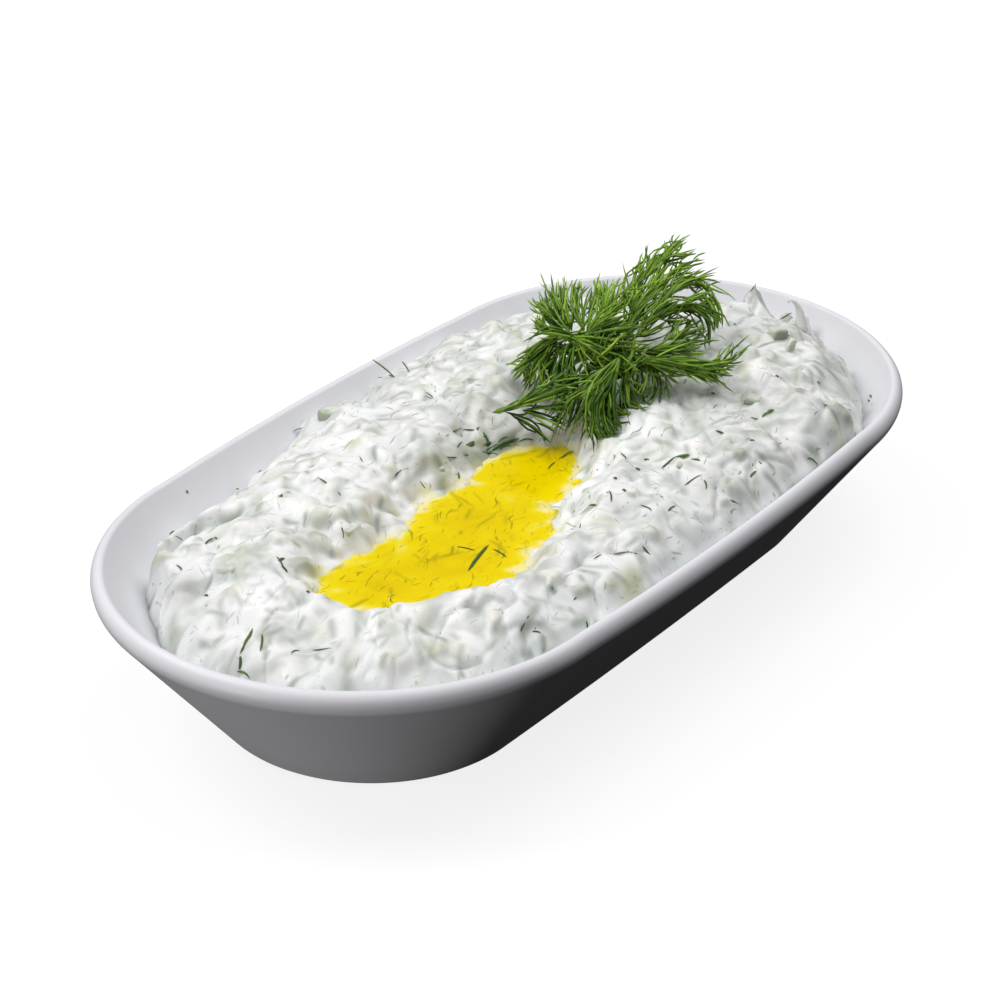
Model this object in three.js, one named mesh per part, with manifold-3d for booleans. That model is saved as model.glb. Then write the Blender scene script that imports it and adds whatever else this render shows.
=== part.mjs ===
// A dish of haydari: thick strained yoghurt with chopped dill and cucumber, heaped in an
// oval porcelain dish, with olive oil in a spoon-made hollow and a sprig of dill on top.
// Millimetres, +Z up. The origin is the centre of the dish's base, and X runs along the dish.
import * as THREE from 'three';
import { mergeVertices } from 'three/addons/utils/BufferGeometryUtils.js';
import Module from 'manifold-3d';

const wasm = await Module();
wasm.setup();

// ---------------------------------------------------------------- driving dimensions

const RIM = { halfLength: 110, halfWidth: 58, bulge: 1.9 };
const FOOT = { halfLength: 84, halfWidth: 33.25, bulge: 0.45 };
const RIM_HEIGHT = 36.3;
const LIP_UNDERSIDE = 31.2;
const LIP_OVERHANG = 1.0;
const RECESS_DEPTH = 1.3;
const FOOT_RING_WIDTH = 3.7;
const WALL_INSET_AT_RIM = 2.8;
const WALL_REFERENCE_HEIGHT = 36;
const WALL_LEAN = 0.72;            // how far the inner wall comes in for each mm down
const END_STEPS = 20;
const SIDE_STEPS = 6;

const FOOD_GAP = 0.4;
const OIL_GAP = 0.35;
const OIL_LEVEL = 33.6;
const SCOOP_FLOOR = 29.3;
const SCOOP_WALL_SLOPE = 0.9;
const SPRIG_CLEARANCE = 1.3;
const MERGE_DISTANCE = 1e-3;
const SLIVER_WIDTH = 0.02;

const END_RADIUS = RIM.halfWidth - RIM.bulge;
const END_CENTRE = RIM.halfLength - END_RADIUS;

// Height at which the food meets the dish wall, by bearing from +X in degrees.
const CONTACT = [
  [-180, 23.0], [-165, 26.5], [-150, 30.0], [-120, 32.0], [-90, 32.6], [-60, 33.0],
  [-42, 32.5], [-31, 28.0], [-21, 28.0], [-10, 29.5], [0, 30.0], [10, 30.0],
  [34, 30.2], [52, 33.8], [63, 33.0], [75, 32.0], [90, 33.0], [100, 34.0],
  [111, 31.0], [125, 29.5], [138, 28.2], [147, 27.5], [156, 26.0], [165, 22.5], [180, 23.0],
];
// Height of the mound along the dish, as [x, height].
const MOUND = [
  [-100, 30], [-85, 33.5], [-60, 37], [-30, 38.5], [0, 38.5],
  [25, 41], [50, 43], [75, 41.5], [90, 38.5], [102, 34],
];
// The overlapping spoon scoops that hold the oil, as [x, y, radius at the oil's level].
const SCOOPS = [
  [-56, -10.5, 13.5], [-40, -15.5, 14.5], [-24, -10, 16], [-8, -5, 13.5], [4, -1, 9.5],
];
// Peaks where the spoon left the yoghurt, as [x, y, height, slope].
const PEAKS = [
  [88, -5, 47.2, 1.5], [92, -15, 44.2, 1.6], [60, 20, 45.5, 1.2], [-80, 33, 31.5, 1.5],
];
// Crests of the heap, as points [x, y] with the height and width of the swelling.
const CRESTS = [
  { path: [[8, -16], [22, -17], [33, -14]], height: 1.4, width: 6 },
  { path: [[-70, -25], [-57, -34], [-38, -36], [-14, -29], [8, -18]], height: 1.6, width: 5.5 },
  { path: [[-58, 18], [-38, 17], [-20, 20], [0, 22]], height: 1.5, width: 7 },
];
const NEST = { from: [2, 2], to: [38, 7], floor: 33.5, rise: 4, width: 9.5, depth: 3 };

// ---------------------------------------------------------------- numbers and noise

function makeRandom(seed) {
  let state = seed;
  return (low = 0, high = 1) => {
    state = (state * 16807) % 2147483647;
    return low + (high - low) * (state / 2147483647);
  };
}

function clamp(value, low = 0, high = 1) {
  return Math.min(high, Math.max(low, value));
}

function smoothMin(a, b, reach) {
  const share = clamp(0.5 + 0.5 * (b - a) / reach);
  return b * (1 - share) + a * share - reach * share * (1 - share);
}

function smoothMax(a, b, reach) {
  return -smoothMin(-a, -b, reach);
}

function hash(i, j, layer) {
  const value = Math.sin(i * 127.1 + j * 311.7 + layer * 74.7) * 43758.5453;
  return value - Math.floor(value);
}

// Smooth noise from -0.5 to 0.5.
function valueNoise(x, y, layer) {
  const i = Math.floor(x);
  const j = Math.floor(y);
  const sx = (x - i) ** 2 * (3 - 2 * (x - i));
  const sy = (y - j) ** 2 * (3 - 2 * (y - j));
  const low = hash(i, j, layer) * (1 - sx) + hash(i + 1, j, layer) * sx;
  const high = hash(i, j + 1, layer) * (1 - sx) + hash(i + 1, j + 1, layer) * sx;
  return low * (1 - sy) + high * sy - 0.5;
}

// Square of the distance to the nearest of one scattered point per unit cell.
function cellDistance(x, y, layer) {
  let nearest = Infinity;
  for (let i = Math.floor(x) - 1; i <= Math.floor(x) + 1; i++) {
    for (let j = Math.floor(y) - 1; j <= Math.floor(y) + 1; j++) {
      const dx = x - i - 0.15 - 0.7 * hash(i, j, layer);
      const dy = y - j - 0.15 - 0.7 * hash(i, j, layer + 1);
      nearest = Math.min(nearest, dx * dx + dy * dy);
    }
  }
  return nearest;
}

// Linear look-up in a table of [position, value] rows.
function lookUp(table, position) {
  let k = 0;
  while (k < table.length - 2 && position > table[k + 1][0]) k++;
  const share = clamp((position - table[k][0]) / (table[k + 1][0] - table[k][0]));
  return { low: table[k][1], high: table[k + 1][1], share };
}

function segmentDistance(x, y, [ax, ay], [bx, by]) {
  const along = clamp(((x - ax) * (bx - ax) + (y - ay) * (by - ay)) /
    ((bx - ax) ** 2 + (by - ay) ** 2));
  return [Math.hypot(x - ax - along * (bx - ax), y - ay - along * (by - ay)), along];
}

// ---------------------------------------------------------------- the shape of the heap

function wallInset(z) {
  return WALL_INSET_AT_RIM + WALL_LEAN * (WALL_REFERENCE_HEIGHT - z);
}

// Distance from the dish's middle line to the inner wall at height z.
function wallRadius(x, z) {
  const share = clamp(x, -END_CENTRE, END_CENTRE) / END_CENTRE;
  return END_RADIUS + RIM.bulge * (1 - share * share) - wallInset(z);
}

function contactHeight(x, y) {
  const { low, high, share } = lookUp(CONTACT, THREE.MathUtils.radToDeg(Math.atan2(y, x)));
  const eased = (1 - Math.cos(Math.PI * share)) / 2;
  return low * (1 - eased) + high * eased + 1.6 * valueNoise(x / 7 + 40, y / 7, 3);
}

// Clumps of two sizes and a fold, on coordinates that are bent so that no two are alike.
function clumps(x, y) {
  const bentX = x + 5 * valueNoise(x / 17, y / 17, 11) + 1.6 * valueNoise(x / 6, y / 6, 13);
  const bentY = y + 5 * valueNoise(x / 17, y / 17, 12) + 1.6 * valueNoise(x / 6, y / 6, 14);
  const turned = (angle, length, width) => [
    (bentX * Math.cos(angle) + bentY * Math.sin(angle)) / length,
    (-bentX * Math.sin(angle) + bentY * Math.cos(angle)) / width,
  ];
  const large = 1 - 1.7 * cellDistance(...turned(0.5, 15, 9.5), 21);
  const small = 1 - 1.7 * cellDistance(...turned(1.9, 8, 5.2), 31);
  const fold = 1 - 3.2 * Math.abs(valueNoise(...turned(1.1, 13, 8), 41));
  return { large, small, fold };
}

// Height of the hollow's own surface: the scoops and the nest beyond them.
function hollowHeight(x, y) {
  let height = Infinity;
  for (const [cx, cy, reach] of SCOOPS) {
    const radius = reach + 2.4 * valueNoise(x / 7 + 9, y / 7, 51);
    const q = Math.hypot(x - cx, y - cy) / radius;
    const scoop = SCOOP_FLOOR + (OIL_LEVEL - SCOOP_FLOOR) * Math.min(q, 1) ** 2 +
      Math.max(q - 1, 0) * radius * SCOOP_WALL_SLOPE;
    height = height === Infinity ? scoop : smoothMin(height, scoop, 0.8);
  }
  const [distance, along] = segmentDistance(x, y, NEST.from, NEST.to);
  const nest = NEST.floor + NEST.rise * along + (distance / NEST.width) ** 2 * NEST.depth;
  return smoothMin(height, nest, 2.5);
}

function crestSwelling(x, y, { path, height, width }) {
  let swelling = 0;
  for (let k = 1; k < path.length; k++) {
    const [distance] = segmentDistance(x, y, path[k - 1], path[k]);
    swelling = Math.max(swelling, height * Math.exp(-((distance / width) ** 2)));
  }
  return swelling;
}

// Height of the yoghurt's surface over the point (x, y).
function heapHeight(x, y) {
  const middle = Math.hypot(x - clamp(x, -END_CENTRE, END_CENTRE), y);
  const contact = contactHeight(x, y);
  const inside = Math.max(wallRadius(x, contact) - FOOD_GAP - middle, 0);
  const { low, high, share } = lookUp(MOUND, x);
  let mound = contact + (low + (high - low) * share - contact) * (1 - Math.exp(-inside / 5));
  for (const crest of CRESTS) mound += crestSwelling(x, y, crest);
  const { large, small, fold } = clumps(x, y);
  const patch = clamp(0.5 + 1.6 * valueNoise(x / 15 + 3, y / 15, 61));
  mound += (1.7 * large + 1.2 * small * patch + 0.9 * fold) * (1 - Math.exp(-inside / 2.5));
  let height = smoothMin(mound, hollowHeight(x, y) + 0.5 * small + 0.5 * large, 1.4);
  for (const [px, py, top, slope] of PEAKS) {
    const distance = Math.hypot(x - px, y - py);
    height = smoothMax(height, top - slope * Math.sqrt(distance * distance + 0.2), 0.7);
  }
  return height;
}

// ---------------------------------------------------------------- geometry helpers

function geometryOf(points, triangles) {
  const geometry = new THREE.BufferGeometry();
  const positions = new Float32Array(points.flatMap((p) => [p.x, p.y, p.z]));
  geometry.setAttribute('position', new THREE.BufferAttribute(positions, 3));
  geometry.setIndex(triangles.flat());
  return geometry;
}

function solidOf(geometry) {
  return new wasm.Manifold(new wasm.Mesh({
    numProp: 3,
    vertProperties: geometry.attributes.position.array,
    triVerts: new Uint32Array(geometry.index.array),
  }));
}

function geometryOfSolid(solid) {
  const mesh = solid.getMesh();
  const geometry = new THREE.BufferGeometry();
  geometry.setAttribute('position', new THREE.BufferAttribute(mesh.vertProperties, 3));
  geometry.setIndex(new THREE.BufferAttribute(mesh.triVerts, 1));
  return geometry;
}

// The largest piece of a solid once its all but coincident vertices are merged: the loose
// scraps and sealed hollows that a cut or join leaves are dropped.
function largestPiece(solid) {
  const merged = mergeVertices(geometryOfSolid(solid.simplify(SLIVER_WIDTH)), MERGE_DISTANCE);
  const pieces = solidOf(merged).decompose();
  pieces.sort((a, b) => b.volume() - a.volume());
  return pieces[0];
}

// Skins a stack of equal closed rings and closes both ends with flat caps.
function loft(rings) {
  const count = rings[0].length;
  const triangles = [];
  for (let k = 0; k + 1 < rings.length; k++) {
    for (let i = 0; i < count; i++) {
      const a = k * count + i;
      const b = k * count + (i + 1) % count;
      triangles.push([a, b, b + count], [a, b + count, a + count]);
    }
  }
  const flat = (ring) => ring.map((p) => new THREE.Vector2(p.x, p.y));
  const last = (rings.length - 1) * count;
  for (const [a, b, c] of THREE.ShapeUtils.triangulateShape(flat(rings[0]), [])) {
    triangles.push([a, c, b]);
  }
  for (const [a, b, c] of THREE.ShapeUtils.triangulateShape(flat(rings.at(-1)), [])) {
    triangles.push([last + a, last + b, last + c]);
  }
  return geometryOf(rings.flat(), triangles);
}

// A tapering tube along points, with one radius for each point and a pointed far end.
function taperedTube(points, radii, sides) {
  const rings = [];
  const side = new THREE.Vector3();
  const up = new THREE.Vector3(0, 0, 1);
  for (let k = 0; k < points.length - 1; k++) {
    const ahead = points[k + 1].clone().sub(points[Math.max(k - 1, 0)]).normalize();
    side.crossVectors(ahead, up).normalize();
    const top = new THREE.Vector3().crossVectors(side, ahead);
    rings.push(Array.from({ length: sides }, (_, i) => {
      const angle = 2 * Math.PI * i / sides;
      return points[k].clone()
        .addScaledVector(side, radii[k] * Math.cos(angle))
        .addScaledVector(top, radii[k] * Math.sin(angle));
    }));
  }
  const triangles = [];
  const tip = rings.length * sides;
  for (let i = 0; i < sides; i++) {
    const next = (i + 1) % sides;
    for (let k = 0; k + 1 < rings.length; k++) {
      const a = k * sides + i;
      const b = k * sides + next;
      triangles.push([a, b + sides, b], [a, a + sides, b + sides]);
    }
    triangles.push([tip - sides + i, tip, tip - sides + next]);
    if (i > 1) triangles.push([0, i - 1, i]);
  }
  return geometryOf([...rings.flat(), points.at(-1)], triangles);
}

// ---------------------------------------------------------------- the dish

function planOutline({ halfLength, halfWidth, bulge }, z) {
  const radius = halfWidth - bulge;
  const centre = halfLength - radius;
  const points = [];
  for (const sign of [1, -1]) {
    for (let i = 0; i < END_STEPS; i++) {
      const angle = Math.PI * (i / END_STEPS - 0.5);
      points.push([sign * (centre + radius * Math.cos(angle)), sign * radius * Math.sin(angle)]);
    }
    for (let i = 0; i < SIDE_STEPS; i++) {
      const share = 1 - 2 * i / SIDE_STEPS;
      points.push([sign * centre * share, sign * (radius + bulge * (1 - share * share))]);
    }
  }
  return points.map(([x, y]) => new THREE.Vector3(x, y, z));
}

function insetPlan({ halfLength, halfWidth, bulge }, inset) {
  return { halfLength: halfLength - inset, halfWidth: halfWidth - inset, bulge };
}

// The straight flared outer wall between the foot and the underside of the lip.
function outerPlan(z) {
  const top = insetPlan(RIM, LIP_OVERHANG);
  const mix = (key) => FOOT[key] + (top[key] - FOOT[key]) * z / LIP_UNDERSIDE;
  return { halfLength: mix('halfLength'), halfWidth: mix('halfWidth'), bulge: mix('bulge') };
}

function makeDish() {
  const footEdge = 1.3;
  const ringInside = footEdge + FOOT_RING_WIDTH;
  const underside = [
    planOutline(insetPlan(FOOT, ringInside + 1.2), RECESS_DEPTH),
    planOutline(insetPlan(FOOT, ringInside), 0),
    planOutline(insetPlan(FOOT, footEdge), 0),
    planOutline(insetPlan(outerPlan(0.4), 0.45), 0.4),
    planOutline(outerPlan(1.6), 1.6),
    planOutline(outerPlan(LIP_UNDERSIDE), LIP_UNDERSIDE),
  ];
  // The rolled lip, as [height below the rim's top, inset from the rim's outline].
  const lip = [
    [4.4, 0.7], [3.6, 0.2], [2.5, 0], [1.3, 0.25], [0.4, 0.85], [0, 1.75], [0.15, 2.55],
    [0.8, wallInset(RIM_HEIGHT - 0.8)],
  ].map(([drop, inset]) => planOutline(insetPlan(RIM, inset), RIM_HEIGHT - drop));
  const inside = [[8.6, wallInset(8.6)], [6.4, 24.6], [5.1, 27], [4.6, 30.2]]
    .map(([z, inset]) => planOutline(insetPlan(RIM, inset), z));
  return loft([...underside, ...lip, ...inside]);
}

// ---------------------------------------------------------------- the haydari

const GRID_ACROSS = 28;
const GRID_MIDDLE = 30;
const GRID_END = 13;
const GRID_LENGTH = GRID_MIDDLE + 2 * GRID_END;

// Point of the heap's top for grid place (i, j): the long middle is a plain grid, and each
// end maps half a square onto half a disc.
function gridPoint(i, j) {
  const b = 2 * j / GRID_ACROSS - 1;
  let a = 0;
  let foot = (2 * (i - GRID_END) / GRID_MIDDLE - 1) * END_CENTRE;
  if (i < GRID_END) {
    a = (i - GRID_END) / GRID_END;
    foot = -END_CENTRE;
  } else if (i > GRID_END + GRID_MIDDLE) {
    a = (i - GRID_END - GRID_MIDDLE) / GRID_END;
    foot = END_CENTRE;
  }
  const reach = Math.max(Math.abs(a), Math.abs(b));
  let angle = Math.PI / 2 * Math.sign(b || 1);
  if (reach > 0 && Math.abs(a) >= Math.abs(b)) {
    angle = Math.PI / 4 * (b / a) + (a < 0 ? Math.PI : 0);
  } else if (reach > 0) {
    angle = Math.PI / 2 * Math.sign(b) - Math.PI / 4 * (a / b);
  }
  const direction = [Math.cos(angle), Math.sin(angle)];
  let radius = END_RADIUS - 8;
  for (let pass = 0; pass < 4; pass++) {
    const x = foot + radius * direction[0];
    radius = wallRadius(x, contactHeight(x, radius * direction[1])) - FOOD_GAP;
  }
  const x = foot + reach * radius * direction[0];
  const y = reach * radius * direction[1];
  return new THREE.Vector3(x, y, heapHeight(x, y));
}

// The same bearing on the wall, lower down.
function wallPoint(edge, z, extraInset) {
  const foot = clamp(edge.x, -END_CENTRE, END_CENTRE);
  const middle = Math.hypot(edge.x - foot, edge.y);
  const scale = (wallRadius(edge.x, z) - FOOD_GAP - extraInset) / middle;
  return new THREE.Vector3(foot + (edge.x - foot) * scale, edge.y * scale, z);
}

function makeHeap() {
  const points = [];
  const triangles = [];
  const rows = GRID_ACROSS + 1;
  for (let i = 0; i <= GRID_LENGTH; i++) {
    for (let j = 0; j <= GRID_ACROSS; j++) points.push(gridPoint(i, j));
  }
  for (let i = 0; i < GRID_LENGTH; i++) {
    for (let j = 0; j < GRID_ACROSS; j++) {
      const a = i * rows + j;
      const [b, c, d] = [a + rows, a + rows + 1, a + 1];
      const leaning = Math.abs(points[a].z - points[c].z) < Math.abs(points[b].z - points[d].z);
      if (leaning) triangles.push([a, b, c], [a, c, d]);
      else triangles.push([a, b, d], [b, c, d]);
    }
  }
  const border = [];
  for (let i = 0; i < GRID_LENGTH; i++) border.push(i * rows);
  for (let j = 0; j < GRID_ACROSS; j++) border.push(GRID_LENGTH * rows + j);
  for (let i = GRID_LENGTH; i > 0; i--) border.push(i * rows + GRID_ACROSS);
  for (let j = GRID_ACROSS; j > 0; j--) border.push(j);
  // The sides go down the dish's wall, round its corner and under, as [z, extra inset].
  let upper = border;
  for (const [z, extra] of [[9, 0], [6.9, 0.7], [5.3, 2.3]]) {
    const lower = border.map((index) => {
      points.push(wallPoint(points[index], z, extra));
      return points.length - 1;
    });
    for (let i = 0; i < border.length; i++) {
      const next = (i + 1) % border.length;
      triangles.push([upper[i], lower[i], lower[next]], [upper[i], lower[next], upper[next]]);
    }
    upper = lower;
  }
  const bottom = upper.map((index) => new THREE.Vector2(points[index].x, points[index].y));
  for (const [a, b, c] of THREE.ShapeUtils.triangulateShape(bottom, [])) {
    triangles.push([upper[a], upper[c], upper[b]]);
  }
  return geometryOf(points, triangles);
}

// Height and slope of a faceted surface straight below (x, y).
function makeProbe(geometry) {
  const mesh = new THREE.Mesh(geometry, new THREE.MeshBasicMaterial());
  const caster = new THREE.Raycaster();
  const down = new THREE.Vector3(0, 0, -1);
  return (x, y) => {
    caster.set(new THREE.Vector3(x, y, 100), down);
    const [hit] = caster.intersectObject(mesh);
    return hit ? { z: hit.point.z, normal: hit.face.normal.clone() } : null;
  };
}

function inHollow(x, y, margin) {
  return SCOOPS.some(([cx, cy, reach]) => Math.hypot(x - cx, y - cy) < reach + margin);
}

function nearWall(x, y, margin) {
  const middle = Math.hypot(x - clamp(x, -END_CENTRE, END_CENTRE), y);
  return middle > wallRadius(x, contactHeight(x, y)) - FOOD_GAP - margin;
}

// A slender blade of chopped dill, pointed at both ends, lying along +X.
function dillBlade(length, width, thickness) {
  const points = [new THREE.Vector3(-length / 2, 0, 0), new THREE.Vector3(length / 2, 0, 0)];
  for (const along of [-0.22, 0.2]) {
    for (const [across, high] of [[1, 0], [0, 1], [-1, 0], [0, -1]]) {
      points.push(new THREE.Vector3(along * length, across * width / 2, high * thickness / 2));
    }
  }
  const triangles = [];
  for (let i = 0; i < 4; i++) {
    const [a, b] = [2 + i, 2 + (i + 1) % 4];
    triangles.push([0, a, b], [a, a + 4, b + 4], [a, b + 4, b], [1, b + 4, a + 4]);
  }
  return geometryOf(points, triangles);
}

// A box of eight shared corners.
function plainBox(length, width, height) {
  const box = new THREE.BoxGeometry(length, width, height);
  box.deleteAttribute('normal');
  box.deleteAttribute('uv');
  return mergeVertices(box, MERGE_DISTANCE);
}

// A diced piece of cucumber with knife-cut sides, no two alike.
function cucumberDice(length, random) {
  const dice = plainBox(length, length * random(0.6, 0.9), length * 0.7);
  const corners = dice.attributes.position;
  for (let i = 0; i < corners.array.length; i++) {
    corners.array[i] += length * random(-0.12, 0.12);
  }
  return dice;
}

const BLADE_COUNT = 56;
const BLADE_SINK = 0.17;
const DICE_COUNT = 18;
const SPRIG_SHADOW = { from: [6, 6], to: [66, 2], reach: 17 };

function makeHaydari() {
  const heap = makeHeap();
  const probe = makeProbe(heap);
  const random = makeRandom(20438);
  const parts = [solidOf(heap)];
  const free = (x, y, margin) => {
    const [fromSprig] = segmentDistance(x, y, SPRIG_SHADOW.from, SPRIG_SHADOW.to);
    return !inHollow(x, y, margin + 2) && !nearWall(x, y, margin) &&
      fromSprig > SPRIG_SHADOW.reach;
  };
  const place = (geometry, x, y, sink, yaw) => {
    const { z, normal } = probe(x, y);
    const lean = new THREE.Quaternion().setFromUnitVectors(new THREE.Vector3(0, 0, 1), normal);
    const turn = new THREE.Quaternion().setFromAxisAngle(new THREE.Vector3(0, 0, 1), yaw);
    geometry.applyQuaternion(lean.multiply(turn)).translate(x, y, z - sink);
    parts.push(solidOf(geometry));
  };
  const taken = [];
  const scatter = (count, margin, [shortest, longest], put) => {
    for (let made = 0; made < count;) {
      const x = random(-RIM.halfLength, RIM.halfLength);
      const y = random(-RIM.halfWidth, RIM.halfWidth);
      const length = random(shortest, longest);
      const crowded = taken.some((t) => Math.hypot(x - t.x, y - t.y) < (length + t.length) / 2);
      if (crowded || !free(x, y, margin) || !probe(x, y)) continue;
      put(x, y, length);
      taken.push({ x, y, length });
      made++;
    }
  };
  scatter(DICE_COUNT, 5, [3.6, 6.2], (x, y, length) => {
    place(cucumberDice(length, random), x, y, length * 0.16, random(0, Math.PI));
  });
  scatter(BLADE_COUNT, 5.5, [4, 9], (x, y, length) => {
    const blade = dillBlade(length, random(0.9, 1.3), 0.9);
    place(blade, x, y, BLADE_SINK, random(0, Math.PI));
  });
  return largestPiece(wasm.Manifold.union(parts));
}

// ---------------------------------------------------------------- the oil

// Oil fills the scoops up to its level, clear of the yoghurt by OIL_GAP.
function makeOil(haydari) {
  const [left, right] = [-76, 20];
  const [near, far] = [-34, 14];
  const depth = OIL_LEVEL - SCOOP_FLOOR + 4;
  const slab = plainBox(right - left, far - near, depth);
  slab.translate((left + right) / 2, (near + far) / 2, OIL_LEVEL - depth / 2);
  return largestPiece(solidOf(slab).subtract(haydari.translate([0, 0, OIL_GAP])));
}

// ---------------------------------------------------------------- the dill sprig

// Each frond leaves the hub and bows through a bend to its tip. The threads stand out on
// both sides by reach, in the given number of pairs.
const HUB = [33.9, -3.6, 48.5];
const FRONDS = [
  { bend: [17, 2, 44], tip: [6.2, 11.9, 40.2], pairs: 4, reach: 8, radius: 0.8 },
  { bend: [48, -3, 58], tip: [70, 5, 61], pairs: 7, reach: 12, radius: 0.6 },
  { bend: [66, -4, 62], tip: [57.1, -11.8, 47.6], pairs: 6, reach: 10, radius: 0.55 },
  { bend: [30, -12, 52], tip: [41, -27, 48.4], pairs: 5, reach: 9, radius: 0.55 },
  { bend: [34, 9, 57], tip: [22.7, 17.6, 44.8], pairs: 5, reach: 9, radius: 0.5 },
  { bend: [31, 4, 57], tip: [38.5, 20.7, 60], pairs: 5, reach: 9, radius: 0.5 },
  { bend: [36, -2, 58], tip: [43, 8, 60.5], pairs: 4, reach: 8, radius: 0.5 },
  { bend: [20, -11, 53], tip: [5.5, -9.9, 40.2], pairs: 5, reach: 9, radius: 0.5 },
  { bend: [25, -13, 53], tip: [13, -16, 45], pairs: 4, reach: 8, radius: 0.5 },
  { bend: [52, -3, 55], tip: [68.7, -3.5, 58.5], pairs: 5, reach: 9, radius: 0.5 },
  { bend: [20, 4, 51], tip: [9, 0, 40.5], pairs: 4, reach: 8, radius: 0.5 },
];
const AXIS_STEPS = 5;
const THREAD_RADIUS = 0.5;

function clearOfHeap(points, probe) {
  return points.every((p) => {
    const below = probe(p.x, p.y);
    return !below || p.z > Math.max(below.z, OIL_LEVEL) + SPRIG_CLEARANCE;
  });
}

function makeSprig(probe) {
  const random = makeRandom(7717);
  const hub = new THREE.Vector3(...HUB);
  const parts = [];
  for (const { bend, tip, pairs, reach, radius } of FRONDS) {
    const axis = new THREE.QuadraticBezierCurve3(
      hub, new THREE.Vector3(...bend), new THREE.Vector3(...tip));
    const spine = axis.getPoints(AXIS_STEPS);
    const radii = spine.map((_, k) => radius * (1 - 0.6 * k / AXIS_STEPS));
    parts.push(solidOf(taperedTube(spine, radii, 4)));
    for (let k = 0; k < 2 * pairs; k++) {
      const along = 0.12 + 0.86 * (k + random()) / (2 * pairs);
      const start = axis.getPoint(along);
      const ahead = axis.getTangent(along);
      const roll = (k % 2 ? 0 : Math.PI) + random(-1.1, 1.1);
      const across = new THREE.Vector3().crossVectors(ahead, new THREE.Vector3(0, 0, 1))
        .normalize().applyAxisAngle(ahead, roll);
      const length = reach * random(0.65, 1.1) * (1 - 0.45 * along);
      const out = ahead.clone().multiplyScalar(random(0.55, 1)).add(across).normalize();
      const end = start.clone().addScaledVector(out, length * 0.85)
        .addScaledVector(ahead, length * random(0.1, 0.4));
      if (!clearOfHeap([start, end], probe)) continue;
      parts.push(solidOf(taperedTube([start, end], [THREAD_RADIUS], 3)));
    }
  }
  return largestPiece(wasm.Manifold.union(parts));
}

// ---------------------------------------------------------------- the whole dish of food

function addMesh(group, name, geometry, finish) {
  const mesh = new THREE.Mesh(geometry, new THREE.MeshStandardMaterial({ metalness: 0, ...finish }));
  mesh.name = name;
  group.add(mesh);
}

const haydari = makeHaydari();
const probe = makeProbe(geometryOfSolid(haydari));
const group = new THREE.Group();
addMesh(group, 'dish', makeDish(), { color: 0xe9e9ee, roughness: 0.18 });
addMesh(group, 'haydari', geometryOfSolid(haydari), { color: 0xf4f5ef, roughness: 0.45 });
addMesh(group, 'olive_oil', geometryOfSolid(makeOil(haydari)), { color: 0xe8cf05, roughness: 0.1 });
addMesh(group, 'dill_sprig', geometryOfSolid(makeSprig(probe)), { color: 0x3f7414, roughness: 0.55 });

export default group;
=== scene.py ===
"""A dish of haydari: thick yoghurt with chopped dill and cucumber in an oval porcelain dish, with
olive oil in a spooned hollow and a sprig of dill on top.

Lengths are in millimetres until a mesh is made, and in metres from there on. The heap's form is
worked out by the same functions as the solid that it replaces, a little nearer to the photograph.
"""

import math

import bmesh
import bpy
import numpy as np
from mathutils import Matrix, Vector


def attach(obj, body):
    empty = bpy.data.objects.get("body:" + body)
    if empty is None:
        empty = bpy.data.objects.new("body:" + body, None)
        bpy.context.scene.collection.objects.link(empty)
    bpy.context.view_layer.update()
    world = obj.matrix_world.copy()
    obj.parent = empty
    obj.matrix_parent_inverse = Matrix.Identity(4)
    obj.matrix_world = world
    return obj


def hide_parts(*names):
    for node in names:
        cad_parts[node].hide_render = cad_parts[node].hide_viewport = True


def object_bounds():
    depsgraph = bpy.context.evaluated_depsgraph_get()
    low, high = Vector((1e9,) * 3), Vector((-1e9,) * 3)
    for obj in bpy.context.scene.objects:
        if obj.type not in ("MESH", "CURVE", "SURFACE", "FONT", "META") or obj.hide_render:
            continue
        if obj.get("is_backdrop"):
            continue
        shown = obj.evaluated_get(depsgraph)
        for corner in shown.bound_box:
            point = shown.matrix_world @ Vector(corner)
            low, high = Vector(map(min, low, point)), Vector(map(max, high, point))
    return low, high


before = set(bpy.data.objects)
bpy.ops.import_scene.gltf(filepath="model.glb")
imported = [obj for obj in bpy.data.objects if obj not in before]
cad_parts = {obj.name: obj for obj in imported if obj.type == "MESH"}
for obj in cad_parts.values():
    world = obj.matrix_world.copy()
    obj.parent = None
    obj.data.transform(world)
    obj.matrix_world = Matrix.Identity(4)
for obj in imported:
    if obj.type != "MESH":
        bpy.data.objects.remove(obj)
cad_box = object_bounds()

METRES = 0.001

# --------------------------------------------------------------------------- driving dimensions

RIM = {"half_length": 110, "half_width": 58, "bulge": 1.9}
FOOT = {"half_length": 84, "half_width": 33.25, "bulge": 0.45}
RIM_HEIGHT = 36.3
LIP_UNDERSIDE = 31.2
LIP_OVERHANG = 1.0
RECESS_DEPTH = 1.3
FOOT_RING_WIDTH = 3.7
FOOT_EDGE = 1.3
WALL_INSET_AT_RIM = 2.8
WALL_REFERENCE_HEIGHT = 36
WALL_LEAN = 0.72
OIL_LEVEL = 33.6
OIL_FULL_DEPTH = 4.5
SCOOP_FLOOR = 29.3
SCOOP_WALL_SLOPE = 0.9
SCOOP_BLEND = 2.2
END_RADIUS = RIM["half_width"] - RIM["bulge"]
END_CENTRE = RIM["half_length"] - END_RADIUS

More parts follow.
